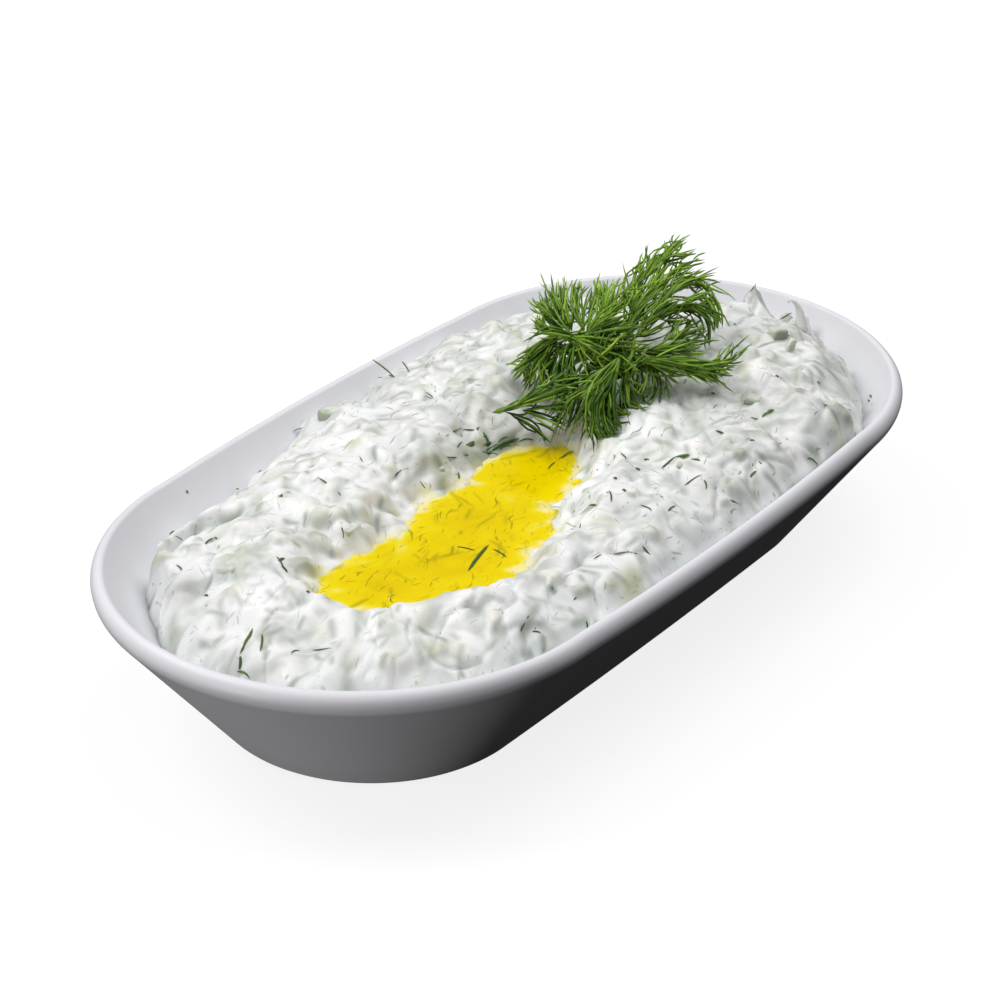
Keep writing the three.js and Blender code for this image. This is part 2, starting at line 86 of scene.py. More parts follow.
# Height at which the food meets the dish wall, by bearing from +X in degrees.
CONTACT = np.array([
    [-180, 23], [-165, 26.5], [-150, 30.4], [-120, 32.9], [-90, 33.5], [-60, 33.8], [-42, 32.5],
    [-31, 28], [-21, 28], [-10, 29.5], [0, 29.5], [6, 28], [10, 27], [20, 27.5], [34, 30.2],
    [44, 31.8], [52, 33.2], [63, 32.4], [72, 31.8], [85, 30.8], [92, 31.6], [100, 33], [106, 31],
    [112, 29.6], [126, 28], [132, 27.4], [139, 28], [145, 28.2], [147.3, 24], [150, 23.8],
    [154, 26.6], [158, 24.5], [161, 22], [168, 21.5], [180, 23],
])
# Height of the mound along the dish.
MOUND = np.array([
    [-100, 30], [-85, 33.5], [-60, 37], [-30, 38.5], [0, 38.5], [25, 41], [50, 43], [75, 41.5],
    [90, 38.5], [102, 34],
])
# The overlapping spoon scoops that hold the oil, as [x, y, radius at the oil's level].
SCOOPS = [[-56.9, -7.4, 15], [-42.3, -13, 17.5], [-24.9, -8, 17.1], [-3, -3.5, 13.4], [6, -2.2, 8.2]]
# Peaks where the spoon left the yoghurt, as [x, y, height, height of the thin tip, its reach].
PEAKS = [[86, -6, 47.4, 5.5, 2.6], [91, -14.5, 39.4, 2, 1.8], [60, 20, 45, 2, 3]]
PEAK_SLOPE = 0.85
# Crests of the heap, as points [x, y] with the height and width of the swelling.
CRESTS = [
    ([[8, -16], [22, -17], [33, -14]], 1.4, 6),
    ([[-70, -25], [-57, -34], [-38, -36], [-14, -29], [8, -18]], 1.6, 5.5),
    ([[-58, 18], [-38, 17], [-20, 20], [0, 22]], 1.5, 7),
]
# Lobes and dips of the heap's edge and crests, as [x, y, height, radius].
LOBES = [
    [-60, 41, 1.2, 6], [-68, 42, -3, 4], [-77, 35, 1.6, 4], [-83, 26, 2.6, 5.5], [-91, 14, 2.2, 5],
    [-94, -4, 2, 6], [-68, 24, -2.2, 5], [-83, 20, -2.6, 4.5], [-79, 8, 1.6, 7], [-56, 19, -1.8, 4],
    [-47, 31, 1.4, 6], [-76, -21, 1.4, 6], [83, -5, 3.2, 6], [86, -14, 1.8, 5], [68, -15, 1.8, 6],
    [70, 22, 1, 7], [30, 38, 0.8, 6], [54, -30, 1.6, 5], [22, -40, 1.6, 6], [-24, 38, 1, 6],
]
# The flattened place under the sprig, beyond the scoops.
NEST = {"from": (2, 2), "to": (38, 7), "floor": 33.5, "rise": 4, "width": 9.5, "depth": 3}

# ---------------------------------------------------------------------- the photograph's camera

CAMERA_PLACE = np.array([-490.42, -351.74, 344.47])
CAMERA_AIM = np.array([6.11, 9.67, 20.13])
CAMERA_LENS = 112.53
SENSOR_WIDTH = 36.0
PHOTO_SIZE = 1000


def turned_to(place, aim):
    """The rotation of a camera or a light at a place that looks at its aim."""
    return Vector(np.subtract(aim, place)).to_track_quat("-Z", "Y")


def make_camera():
    data = bpy.data.cameras.new("camera")
    data.lens = CAMERA_LENS
    data.sensor_width = SENSOR_WIDTH
    data.clip_start = 0.05
    data.clip_end = 20
    camera = bpy.data.objects.new("camera", data)
    camera.location = Vector(CAMERA_PLACE * METRES)
    camera.rotation_mode = "QUATERNION"
    camera.rotation_quaternion = turned_to(CAMERA_PLACE, CAMERA_AIM)
    bpy.context.scene.collection.objects.link(camera)
    bpy.context.scene.camera = camera


def pixel_ray(pixel):
    """Direction from the camera through a pixel of the photograph."""
    ahead = (CAMERA_AIM - CAMERA_PLACE) / np.linalg.norm(CAMERA_AIM - CAMERA_PLACE)
    right = np.cross(ahead, (0, 0, 1))
    right /= np.linalg.norm(right)
    focal = CAMERA_LENS / SENSOR_WIDTH * PHOTO_SIZE
    across, down = (np.array(pixel) - PHOTO_SIZE / 2) / focal
    return ahead + right * across - np.cross(right, ahead) * down


def seen_at(pixel_x, pixel_y, height):
    """The point at a height in millimetres that the photograph shows at a pixel."""
    direction = pixel_ray((pixel_x, pixel_y))
    return CAMERA_PLACE + direction * (height - CAMERA_PLACE[2]) / direction[2]


# ---------------------------------------------------------------------------- numbers and noise

def make_random(seed):
    """Draws numbers from low to high, the same ones on each run."""
    state = [seed]

    def draw(low=0.0, high=1.0):
        state[0] = state[0] * 16807 % 2147483647
        return low + (high - low) * (state[0] / 2147483647)
    return draw


def smooth_min(a, b, reach):
    share = np.clip(0.5 + 0.5 * (b - a) / reach, 0, 1)
    return b * (1 - share) + a * share - reach * share * (1 - share)


def smooth_step(low, high, value):
    share = np.clip((value - low) / (high - low), 0, 1)
    return share * share * (3 - 2 * share)


def hash_of(i, j, layer):
    value = np.sin(i * 127.1 + j * 311.7 + layer * 74.7) * 43758.5453
    return value - np.floor(value)


def value_noise(x, y, layer):
    """Smooth noise from -0.5 to 0.5, the same as in the CAD."""
    i, j = np.floor(x), np.floor(y)
    sx = (x - i) ** 2 * (3 - 2 * (x - i))
    sy = (y - j) ** 2 * (3 - 2 * (y - j))
    low = hash_of(i, j, layer) * (1 - sx) + hash_of(i + 1, j, layer) * sx
    high = hash_of(i, j + 1, layer) * (1 - sx) + hash_of(i + 1, j + 1, layer) * sx
    return low * (1 - sy) + high * sy - 0.5


def wave_noise(x, y, layer):
    """Gradient noise from about -1 to 1, rounder than value_noise."""
    i, j = np.floor(x), np.floor(y)
    total = 0
    for di, dj in ((0, 0), (0, 1), (1, 0), (1, 1)):
        angle = 2 * np.pi * hash_of(i + di, j + dj, layer)
        dx, dy = x - i - di, y - j - dj
        ax, ay = 1 - np.abs(dx), 1 - np.abs(dy)
        weight = ax ** 2 * (3 - 2 * ax) * ay ** 2 * (3 - 2 * ay)
        total = total + weight * (np.cos(angle) * dx + np.sin(angle) * dy)
    return 1.5 * total


def cells(x, y, layer, margin):
    """The unit cells round a point, each with the offset from the one point scattered in it."""
    for di in (-1, 0, 1):
        for dj in (-1, 0, 1):
            i, j = np.floor(x) + di, np.floor(y) + dj
            dx = x - i - margin - (1 - 2 * margin) * hash_of(i, j, layer)
            dy = y - j - margin - (1 - 2 * margin) * hash_of(i, j, layer + 1)
            yield i, j, dx, dy


def cell_distance(x, y, layer, sharpness=8):
    """Square of the distance to the nearest of one scattered point per unit cell, softened."""
    total = sum(np.exp(-sharpness * (dx * dx + dy * dy)) for _, _, dx, dy in cells(x, y, layer, 0.15))
    return -np.log(total + 1e-12) / sharpness


def soft_lumps(x, y, layer, sharpness):
    """Rounded lumps of uneven height, one per unit cell, that run into each other."""
    total = sum(np.exp(sharpness * (0.5 * hash_of(i, j, layer + 2) - dx * dx - dy * dy))
                for i, j, dx, dy in cells(x, y, layer, 0.1))
    return np.log(total + 1e-12) / sharpness


def bent(x, y, noise, layer, wide, narrow):
    """A point moved by two sizes of noise, each as its amount and size."""
    return [value + wide[0] * noise(x / wide[1], y / wide[1], layer + k) +
            narrow[0] * noise(x / narrow[1], y / narrow[1], layer + 2 + k)
            for k, value in enumerate((x, y))]


def segment_distance(x, y, start, end):
    """Distance to a segment, and how far along it the nearest point lies, from 0 to 1."""
    (ax, ay), (bx, by) = start, end
    along = np.clip(((x - ax) * (bx - ax) + (y - ay) * (by - ay)) /
                    ((bx - ax) ** 2 + (by - ay) ** 2), 0, 1)
    return np.hypot(x - ax - along * (bx - ax), y - ay - along * (by - ay)), along


# ------------------------------------------------------------------------ the shape of the heap

def wall_inset(z):
    return WALL_INSET_AT_RIM + WALL_LEAN * (WALL_REFERENCE_HEIGHT - z)


def wall_radius(x, z):
    """Distance from the dish's middle line to the inner wall at height z."""
    share = np.clip(x, -END_CENTRE, END_CENTRE) / END_CENTRE
    return END_RADIUS + RIM["bulge"] * (1 - share * share) - wall_inset(z)


def past_centre(x):
    """How far x lies past the centre of either end of the dish."""
    return x - np.clip(x, -END_CENTRE, END_CENTRE)


def gentle_side(x, y):
    """1 on the far side, where the heap rises gently from the dish's wall, and 0 on the near one."""
    return smooth_step(0, 25, 0.585 * y + 0.81 * past_centre(x))


def contact_height(x, y):
    """Height at which the food meets the wall, with eased steps between the stated heights."""
    places = np.arange(len(CONTACT))
    place = np.interp(np.degrees(np.arctan2(y, x)), CONTACT[:, 0], places)
    start = np.floor(place)
    height = np.interp(start + (1 - np.cos(np.pi * (place - start))) / 2, places, CONTACT[:, 1])
    uneven = 1.6 * value_noise(x / 7 + 40, y / 7, 3) + 2.4 * value_noise(x / 12 + 7, y / 12, 5)
    return height + uneven * np.clip((RIM_HEIGHT - height) / 6, 0, 1) * (1 - 0.5 * gentle_side(x, y))


def inside_wall(x, y):
    """Distance from the dish's wall, where the yoghurt meets it."""
    return np.maximum(wall_radius(x, contact_height(x, y)) - np.hypot(past_centre(x), y), 0)


def clumps(x, y):
    bent_x, bent_y = bent(x, y, value_noise, 11, (5, 17), (1.6, 6))

    def turned(angle, length, width):
        return ((bent_x * math.cos(angle) + bent_y * math.sin(angle)) / length,
                (-bent_x * math.sin(angle) + bent_y * math.cos(angle)) / width)
    large = 1 - 1.7 * cell_distance(*turned(0.5, 15, 9.5), 21)
    small = 1 - 1.7 * cell_distance(*turned(1.9, 8, 5.2), 31)
    fold = 1 - 3.2 * np.abs(value_noise(*turned(1.1, 13, 8), 41))
    return large, small, fold


def hollow_height(x, y):
    """Height of the hollow's own surface: the scoops and the nest beyond them."""
    height = None
    for cx, cy, reach in SCOOPS:
        radius = (reach + 2.4 * value_noise(x / 7 + 9, y / 7, 51) +
                  1.3 * wave_noise(x / 3.4, y / 3.4, 55))
        q = np.hypot(x - cx, y - cy) / radius
        scoop = (SCOOP_FLOOR + (OIL_LEVEL - SCOOP_FLOOR) * np.minimum(q, 1) ** 2 +
                 np.maximum(q - 1, 0) * radius * SCOOP_WALL_SLOPE)
        height = scoop if height is None else smooth_min(height, scoop, SCOOP_BLEND)
    distance, along = segment_distance(x, y, NEST["from"], NEST["to"])
    nest = NEST["floor"] + NEST["rise"] * along + (distance / NEST["width"]) ** 2 * NEST["depth"]
    return smooth_min(height, nest, 2.5)


def heap_height(x, y):
    """Height of the yoghurt's surface over (x, y), as in the CAD but less even at its edge."""
    contact = contact_height(x, y)
    inside = inside_wall(x, y)
    top = np.interp(x, MOUND[:, 0], MOUND[:, 1])
    gentle = gentle_side(x, y)
    shoulder = (5 + 8 * gentle) * (1 + 0.9 * value_noise(x / 13, y / 13, 7))
    mound = contact + (top - contact) * (1 - np.exp(-inside / shoulder))
    for path, height, width in CRESTS:
        nearest = np.min([segment_distance(x, y, *ends)[0] for ends in zip(path, path[1:])], axis=0)
        mound = mound + height * np.exp(-(nearest / width) ** 2)
    large, small, fold = clumps(x, y)
    patch = np.clip(0.5 + 1.6 * value_noise(x / 15 + 3, y / 15, 61), 0, 1)
    mound += ((1.7 * large + 1.2 * small * patch + 0.9 * fold) *
              (1 - np.exp(-inside / (2.5 + 2.5 * gentle))))
    height = smooth_min(mound, hollow_height(x, y) + 0.5 * small + 0.5 * large, 1.4)
    for px, py, peak, tip, reach in PEAKS:
        distance = np.sqrt((x - px) ** 2 + (y - py) ** 2 + 0.2)
        distance = distance * (1 + 0.6 * wave_noise((x - px) / 4 + py, (y - py) / 4, 9))
        cone = peak - tip * (1 - np.exp(-distance / reach)) - PEAK_SLOPE * distance
        height = -smooth_min(-height, -cone, 0.7)
    return height


def in_hollow(x, y, margin):
    """How far inside the oil's hollow a point lies: above 0 within margin of a scoop."""
    return np.max([reach + margin - np.hypot(x - cx, y - cy) for cx, cy, reach in SCOOPS], axis=0)


def relief(x, y):
    """The finer lumps and folds of the yoghurt, which stand out along the heap's normal."""
    bent_x, bent_y = bent(x, y, wave_noise, 71, (3.4, 11), (1.1, 4))
    lumps = soft_lumps(bent_x / 8, bent_y / 5.6, 81, 5) - 0.1
    crumbs = soft_lumps(bent_x / 3.1 + 7, bent_y / 2.5, 91, 6) - 0.1
    folds = 0.5 - np.sqrt(wave_noise(bent_x / 9.5, bent_y / 7, 101) ** 2 + 0.004)
    creases = -np.exp(-(wave_noise(bent_x / 12 + 5, bent_y / 8, 111) / 0.09) ** 2)
    ridges = 0.4 - np.sqrt(wave_noise(bent_x / 4.4 + 9, bent_y / 3.2, 141) ** 2 + 0.001)
    rough = np.clip(0.35 + 0.3 * smooth_step(-40, 20, x) + wave_noise(x / 22, y / 22, 121), 0, 1)
    return (1.2 * lumps + 1.0 * folds + 0.5 * creases + rough * (0.42 * crumbs + 0.6 * ridges) +
            0.05 * wave_noise(bent_x / 1.3, bent_y / 1.3, 131))


def relief_share(x, y):
    """How much of the relief shows: little in the oil's hollow and at the dish's wall."""
    out_of_hollow = smooth_step(5, 0, in_hollow(x, y, 1.5))
    return (0.2 + 0.8 * out_of_hollow) * smooth_step(0, 2.5, inside_wall(x, y))


def finished_height(x, y):
    """The height of the yoghurt with its lobes."""
    lobes = sum(height * np.exp(-((x - cx) ** 2 + (y - cy) ** 2) / radius ** 2)
                for cx, cy, height, radius in LOBES)
    return heap_height(x, y) + lobes * relief_share(x, y)


class HeightMap:
    """The heights of a surface on a fine grid, to look them up quickly."""

    CELL = 0.5

    def __init__(self, height):
        self.corner = (-RIM["half_length"], -RIM["half_width"])
        xs, ys = (np.arange(low, -low + self.CELL, self.CELL) for low in self.corner)
        self.heights = height(*np.meshgrid(xs, ys, indexing="ij"))

    def __call__(self, x, y):
        i, j = (np.clip((value - low) / self.CELL, 0, size - 1.001)
                for value, low, size in zip((x, y), self.corner, self.heights.shape))
        low_i, low_j = np.floor(i).astype(int), np.floor(j).astype(int)
        u, v = i - low_i, j - low_j
        near, far = (self.heights[low_i + n, low_j] * (1 - v) +
                     self.heights[low_i + n, low_j + 1] * v for n in (0, 1))
        return near * (1 - u) + far * u


# The finished yoghurt, and the same with the oil on it, to lay things on.
yoghurt_height = HeightMap(lambda x, y: finished_height(x, y) + relief(x, y) * relief_share(x, y))
resting_height = HeightMap(lambda x, y: np.where(
    in_hollow(x, y, 3) > 0, np.maximum(yoghurt_height(x, y), OIL_LEVEL), yoghurt_height(x, y)))
WALL_MARGIN = 0.2


def on_surface(pixel):
    """The point of the heap, the oil or the dish's inner wall that the photograph shows at a pixel."""
    direction = pixel_ray(pixel)
    steps = (np.linspace(62, 20, 841) - CAMERA_PLACE[2]) / direction[2]
    x, y, z = (CAMERA_PLACE + steps[:, None] * direction).T
    beyond = past_centre(x)
    outward = beyond * direction[0] + y * direction[1] > 0
    in_wall = (z < RIM_HEIGHT) & outward & (np.hypot(beyond, y) > wall_radius(x, z) - WALL_MARGIN)
    hit = np.argmax((z < resting_height(x, y)) | in_wall)
    return np.array([x[hit], y[hit], z[hit]])


# ---------------------------------------------------------------------- mesh and shader helpers

class Pile:
    """Collects many little closed solids into one mesh, each point with a tone from 0 to 1."""

    def __init__(self):
        self.points = []
        self.faces = []
        self.tones = []
        self.count = 0

    def add(self, points, faces, tones):
        self.points.append(points)
        self.faces += [[self.count + k for k in face] for face in faces]
        self.tones.append(np.broadcast_to(tones, len(points)))
        self.count += len(points)

    def add_tube(self, points, radii, sides, tones=(0.5, 0.5), flat=1.0):
        """A tube along points, closed by a point at each end, with tones from its start to its end."""
        points = np.asarray(points, float)
        ahead = np.gradient(points, axis=0)[1:-1]
        ahead /= np.linalg.norm(ahead, axis=1, keepdims=True)
        across = np.cross(points[-1] - points[0], (0.13, 0.07, 1))
        side = across - ahead * (ahead @ across)[:, None]
        side /= np.linalg.norm(side, axis=1, keepdims=True)
        top = flat * np.cross(side, ahead)
        angles = 2 * np.pi * np.arange(sides) / sides
        round_about = np.cos(angles)[:, None] * side[:, None] + np.sin(angles)[:, None] * top[:, None]
        rings = points[1:-1, None] + np.asarray(radii)[1:-1, None, None] * round_about
        along = np.repeat(np.linspace(*tones, len(points))[1:-1], sides)
        self.add(np.vstack([rings.reshape(-1, 3), points[[0, -1]]]),
                 tube_faces(len(points) - 2, sides), np.concatenate([along, tones]))

    def make(self, name, material):
        piece = new_mesh(name, np.vstack(self.points), self.faces, material)
        set_attributes(piece, tone=np.clip(np.concatenate(self.tones), 0, 1))
        return piece


def tube_faces(rings, sides):
    start, end = rings * sides, rings * sides + 1
    last = start - sides
    faces = []
    for i in range(sides):
        n = (i + 1) % sides
        faces.append((start, i, n))
        faces += [(k + i, k + sides + i, k + sides + n, k + n) for k in range(0, last, sides)]
        faces.append((end, last + n, last + i))
    return faces


def band(first, second):
    """The faces between two rings of points, given by their numbers."""
    return list(zip(first, first[1:] + first[:1], second[1:] + second[:1], second))


def new_mesh(name, points, faces, material, smooth=True):
    mesh = bpy.data.meshes.new(name)
    mesh.from_pydata((np.asarray(points) * METRES).tolist(), [], faces)
    if smooth:
        mesh.shade_smooth()
    mesh.materials.append(material)
    mesh.update()
    piece = bpy.data.objects.new(name, mesh)
    bpy.context.scene.collection.objects.link(piece)
    return piece


def set_attributes(piece, **attributes):
    """Gives each point of a piece a number for each name."""
    for name, values in attributes.items():
        attribute = piece.data.attributes.new(name, "FLOAT", "POINT")
        attribute.data.foreach_set("value", np.asarray(values, np.float32))


def curve_through(points, count):
    """A smooth curve through a few points, as count points evenly spread in parameter."""
    points = np.asarray(points, float)
    padded = np.vstack([2 * points[0] - points[1], points, 2 * points[-1] - points[-2]])
    place = np.linspace(0, len(points) - 1, count)
    k = np.minimum(place.astype(int), len(points) - 2)
    t = (place - k)[:, None]
    p0, p1, p2, p3 = (padded[k + n] for n in range(4))
    return 0.5 * (2 * p1 + (p2 - p0) * t + (2 * p0 - 5 * p1 + 4 * p2 - p3) * t ** 2 +
                  (3 * p1 - p0 - 3 * p2 + p3) * t ** 3)


def unit(vector):
    return vector / (np.linalg.norm(vector) + 1e-12)


class Shader:
    """A material's node tree, built by name. An input is a number, a colour or a node's output."""

    def __init__(self, name, **sockets):
        self.material = bpy.data.materials.new(name)
        self.material.use_nodes = True
        self.tree = self.material.node_tree
        self.surface = self.tree.nodes["Principled BSDF"]
        for socket, value in sockets.items():
            self.surface.inputs[socket.replace("_", " ")].default_value = value

    def put(self, value, socket):
        if isinstance(value, bpy.types.NodeSocket):
            self.tree.links.new(value, socket)
        elif socket.type == "RGBA":
            socket.default_value = (*value, 1)
        else:
            socket.default_value = value

    def drive(self, name, value):
        self.put(value, self.surface.inputs[name])

    def node(self, kind, inputs=(), **settings):
        """A node with its inputs, each as [its name or number, value]."""
        node = self.tree.nodes.new("ShaderNode" + kind)
        for name, value in settings.items():
            setattr(node, name, value)
        for key, value in inputs:
            self.put(value, node.inputs[key])
        return node

    def place(self):
        return self.node("NewGeometry").outputs["Position"]

    def attribute(self, name):
        return self.node("Attribute", attribute_name=name).outputs["Fac"]

    def texture(self, place, scale, detail=2.0, roughness=0.5):
        return self.node("TexNoise", [("Vector", place), ("Scale", scale), ("Detail", detail),
                                      ("Roughness", roughness)]).outputs

    def noise(self, size, detail=2.0, roughness=0.5):
        """Noise with features of about size millimetres."""
        return self.texture(self.place(), 1 / (size * METRES), detail, roughness)["Fac"]

    def streaks(self, angle, length, width, stops):
        """Thin strokes of about length by width millimetres along an angle, bent a little."""
        place = self.place()
        bend = self.texture(place, 1 / (13 * METRES))["Color"]
        curved = self.node("VectorMath", [(0, bend), (1, (9 * METRES,) * 3), (2, place)],
                           operation="MULTIPLY_ADD")
        scale = (length * METRES, width * METRES, width * 2 * METRES)
        turned = self.node("Mapping", [("Vector", curved.outputs[0]), ("Rotation", (0, 0, angle)),
                                       ("Scale", scale)], vector_type="TEXTURE")
        return self.ramp(self.texture(turned.outputs[0], 1, 1)["Fac"], stops)

    def ramp(self, factor, stops):
        """Colours or numbers by factor, as [place, value] stops."""
        ramp = self.node("ValToRGB", [("Fac", factor)])
        elements = ramp.color_ramp.elements
        while len(elements) < len(stops):
            elements.new(0.5)
        for element, (place, value) in zip(elements, stops):
            element.position = place
            element.color = (*value, 1) if isinstance(value, tuple) else (value,) * 3 + (1,)
        return ramp.outputs["Color"]

    def mix(self, factor, a, b):
        """The colour a at factor 0 and b at factor 1."""
        return self.node("Mix", [(0, factor), (6, a), (7, b)], data_type="RGBA").outputs[2]

    def math(self, operation, a, b=0.0):
        return self.node("Math", [(0, a), (1, b)], operation=operation).outputs[0]

    def bump(self, height, depth):
        """Relief of depth millimetres from a height from 0 to 1."""
        bump = self.node("Bump", [("Distance", depth * METRES), ("Height", height)])
        self.drive("Normal", bump.outputs["Normal"])


# ------------------------------------------------------------------------------------ materials

def porcelain():
    shader = Shader("porcelain", IOR=1.5, Specular_IOR_Level=0.28)
    tone = shader.ramp(shader.noise(38, 3), [(0.3, (0.785, 0.78, 0.81)), (0.7, (0.81, 0.805, 0.835))])
    height = shader.node("SeparateXYZ", [(0, shader.place())]).outputs["Z"]
    unglazed = shader.math("LESS_THAN", height, 0.25 * METRES)
    shader.drive("Base Color", shader.mix(unglazed, tone, (0.70, 0.67, 0.62)))
    smooth = shader.ramp(shader.noise(24, 2), [(0.3, 0.38), (0.7, 0.42)])
    shader.drive("Roughness", shader.mix(unglazed, smooth, (0.8, 0.8, 0.8)))
    shader.bump(shader.noise(14, 1), 0.02)
    return shader.material


def yoghurt():
    shader = Shader("yoghurt", Subsurface_Weight=0.35, Subsurface_Scale=0.0016,
                    Subsurface_Radius=(1.0, 0.85, 0.7), IOR=1.4)
    white = shader.ramp(shader.noise(16, 3),
                        [(0.35, (0.92, 0.92, 0.905)), (0.65, (0.94, 0.932, 0.905))])
    # Painted shade: a cool grey mixed in where the heap dips into creases and hollows, along the dish
    # wall and towards the thin tip.
    shaded_white = shader.mix(shader.attribute("crease"), white, (0.66, 0.70, 0.68))
    warm = shader.mix(shader.attribute("whey"), shaded_white, (0.58, 0.61, 0.36))
    oily = shader.mix(shader.attribute("oily"), warm, (0.88, 0.80, 0.26))
    herb = shader.ramp(shader.noise(2.2, 2), [(0.35, (0.10, 0.16, 0.08)), (0.7, (0.20, 0.27, 0.16))])
    # The herb attribute is dill under the surface and, in wide faint patches, painted shade, both drawn
    # in the herb colour.
    cover = shader.attribute("herb")
    stirred = shader.attribute("stirred")
    for angle, strength in ((0.35, 0.7), (1.3, 0.6), (-0.7, 0.6)):
        strokes = shader.streaks(angle, 8, 0.85, [(0.675, 0.0), (0.76, strength)])
        cover = shader.math("MAXIMUM", cover, shader.math("MULTIPLY", strokes, stirred))
    shader.drive("Base Color", shader.mix(cover, oily, herb))
    shader.drive("Roughness", shader.ramp(shader.noise(5, 3), [(0.35, 0.34), (0.65, 0.52)]))
    shader.bump(shader.noise(0.9, 4, 0.6), 0.07)
    return shader.material


def dill(name, dark, bright):
    shader = Shader(name, Roughness=0.42, IOR=1.42, Specular_IOR_Level=0.36)
    tone = shader.ramp(shader.attribute("tone"), [(0.0, dark), (1.0, bright)])
    spots = shader.ramp(shader.noise(2.4, 3), [(0.4, 0.0), (0.75, 0.55)])
    shader.drive("Base Color", shader.mix(spots, tone, tuple(0.5 * value for value in bright)))
    shader.bump(shader.noise(0.35, 2), 0.03)
    return shader.material


def olive_oil():
    shader = Shader("olive_oil", IOR=1.46, Roughness=0.07, Specular_IOR_Level=0.16)
    deep = shader.ramp(shader.attribute("depth"), [
        (0.0, (0.88, 0.79, 0.34)), (0.08, (0.88, 0.73, 0.05)), (0.2, (0.86, 0.68, 0.002)),
        (0.6, (0.83, 0.63, 0.0)), (1.0, (0.74, 0.52, 0.0))])
    clouds = shader.ramp(shader.noise(4.5, 5, 0.65), [(0.5, 0.0), (0.72, 0.5)])
    clouded = shader.mix(clouds, deep, (0.68, 0.52, 0.0))
    fine = shader.math("MAXIMUM", shader.streaks(0.5, 7, 0.7, [(0.66, 0.0), (0.74, 0.6)]),
                       shader.streaks(-0.2, 5, 0.6, [(0.68, 0.0), (0.75, 0.6)]))
    sunk = shader.math("MAXIMUM", shader.attribute("herb"), fine)
    shader.drive("Base Color", shader.mix(sunk, clouded, (0.20, 0.20, 0.005)))
    shader.bump(shader.noise(9, 2), 0.12)
    return shader.material


def cucumber():
    shader = Shader("cucumber", Roughness=0.28, IOR=1.38, Subsurface_Weight=0.4,
                    Subsurface_Scale=0.002, Subsurface_Radius=(1.0, 1.0, 0.6))
    flesh = shader.ramp(shader.noise(2.6, 3), [(0.35, (0.68, 0.71, 0.58)), (0.7, (0.84, 0.86, 0.78))])
    shader.drive("Base Color", shader.mix(shader.attribute("tone"), flesh, (0.30, 0.35, 0.26)))
    shader.bump(shader.noise(0.8, 3), 0.08)
    return shader.material


# ------------------------------------------------------------------------------------- the dish

ROUND_STEPS = 96
SIDE_STEPS = 40


def plan_outline(plan, inset, z):
    """The dish's oval outline at height z, drawn in by inset."""
    radius = plan["half_width"] - plan["bulge"]
    centre = plan["half_length"] - radius
    points = []
    for sign in (1, -1):
        for i in range(ROUND_STEPS):
            angle = math.pi * (i / ROUND_STEPS - 0.5)
            points.append((sign * (centre + (radius - inset) * math.cos(angle)),
                           sign * (radius - inset) * math.sin(angle), z))
        for i in range(SIDE_STEPS):
            share = 1 - 2 * i / SIDE_STEPS
            y = radius - inset + plan["bulge"] * (1 - share * share)
            points.append((sign * centre * share, sign * y, z))
    return points


def outer_plan(z):
    """The straight flared outer wall between the foot and the underside of the lip."""
    top = {"half_length": RIM["half_length"] - LIP_OVERHANG,
           "half_width": RIM["half_width"] - LIP_OVERHANG, "bulge": RIM["bulge"]}
    return {key: FOOT[key] + (top[key] - FOOT[key]) * z / LIP_UNDERSIDE for key in FOOT}


def make_dish():
    inner = FOOT_EDGE + FOOT_RING_WIDTH
    foot = [(inner + 3.0, RECESS_DEPTH), (inner + 1.2, RECESS_DEPTH - 0.1), (inner + 0.3, 0.25),
            (inner, 0), (FOOT_EDGE, 0)]
    wall = [(0.4, 0.45), (1.0, 0.12)] + [(z, 0) for z in (1.6, 9, 16, 24, 29.5, LIP_UNDERSIDE - 0.4)]
    lip = [[5.1, 0.98], [4.3, 0.42], [3.4, 0.1], [2.5, 0], [1.5, 0.22], [0.7, 0.72], [0.2, 1.35],
           [0, 2.0], [0.2, 2.65], [0.8, wall_inset(RIM_HEIGHT - 0.8)]]
    rings = [plan_outline(FOOT, inset, z) for inset, z in foot]
    rings += [plan_outline(outer_plan(z), inset, z) for z, inset in wall]
    rings += [plan_outline(RIM, inset, RIM_HEIGHT - drop) for drop, inset in curve_through(lip, 33)]
    rings += [plan_outline(RIM, wall_inset(z), z) for z in (33, 29, 25, 20, 15, 11)]
    rounded = curve_through([[8.6, wall_inset(8.6)], [6.4, 24.6], [5.1, 27], [4.6, 30.2]], 9)
    rings += [plan_outline(RIM, inset, z) for z, inset in rounded]
    count = len(rings[0])
    numbers = [list(range(k * count, (k + 1) * count)) for k in range(len(rings))]
    faces = [numbers[0][::-1], numbers[-1]]
    for first, second in zip(numbers, numbers[1:]):
        faces += band(first, second)
    piece = new_mesh("glazed_dish", np.vstack(rings), faces, porcelain())
    piece.data.set_sharp_from_angle(angle=math.radians(38))
    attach(piece, "root")
    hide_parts("dish")


# -------------------------------------------------------------------------- the heap of haydari

GRID_ACROSS = 204
GRID_MIDDLE = 224
GRID_END = 100
WALL_OVERLAP = 0.12
# Rings under the heap's edge, as the height and the distance from the dish's wall.
SIDE_BANDS = [(9, 0.4), (6.9, 1.1), (5.3, 2.7)]


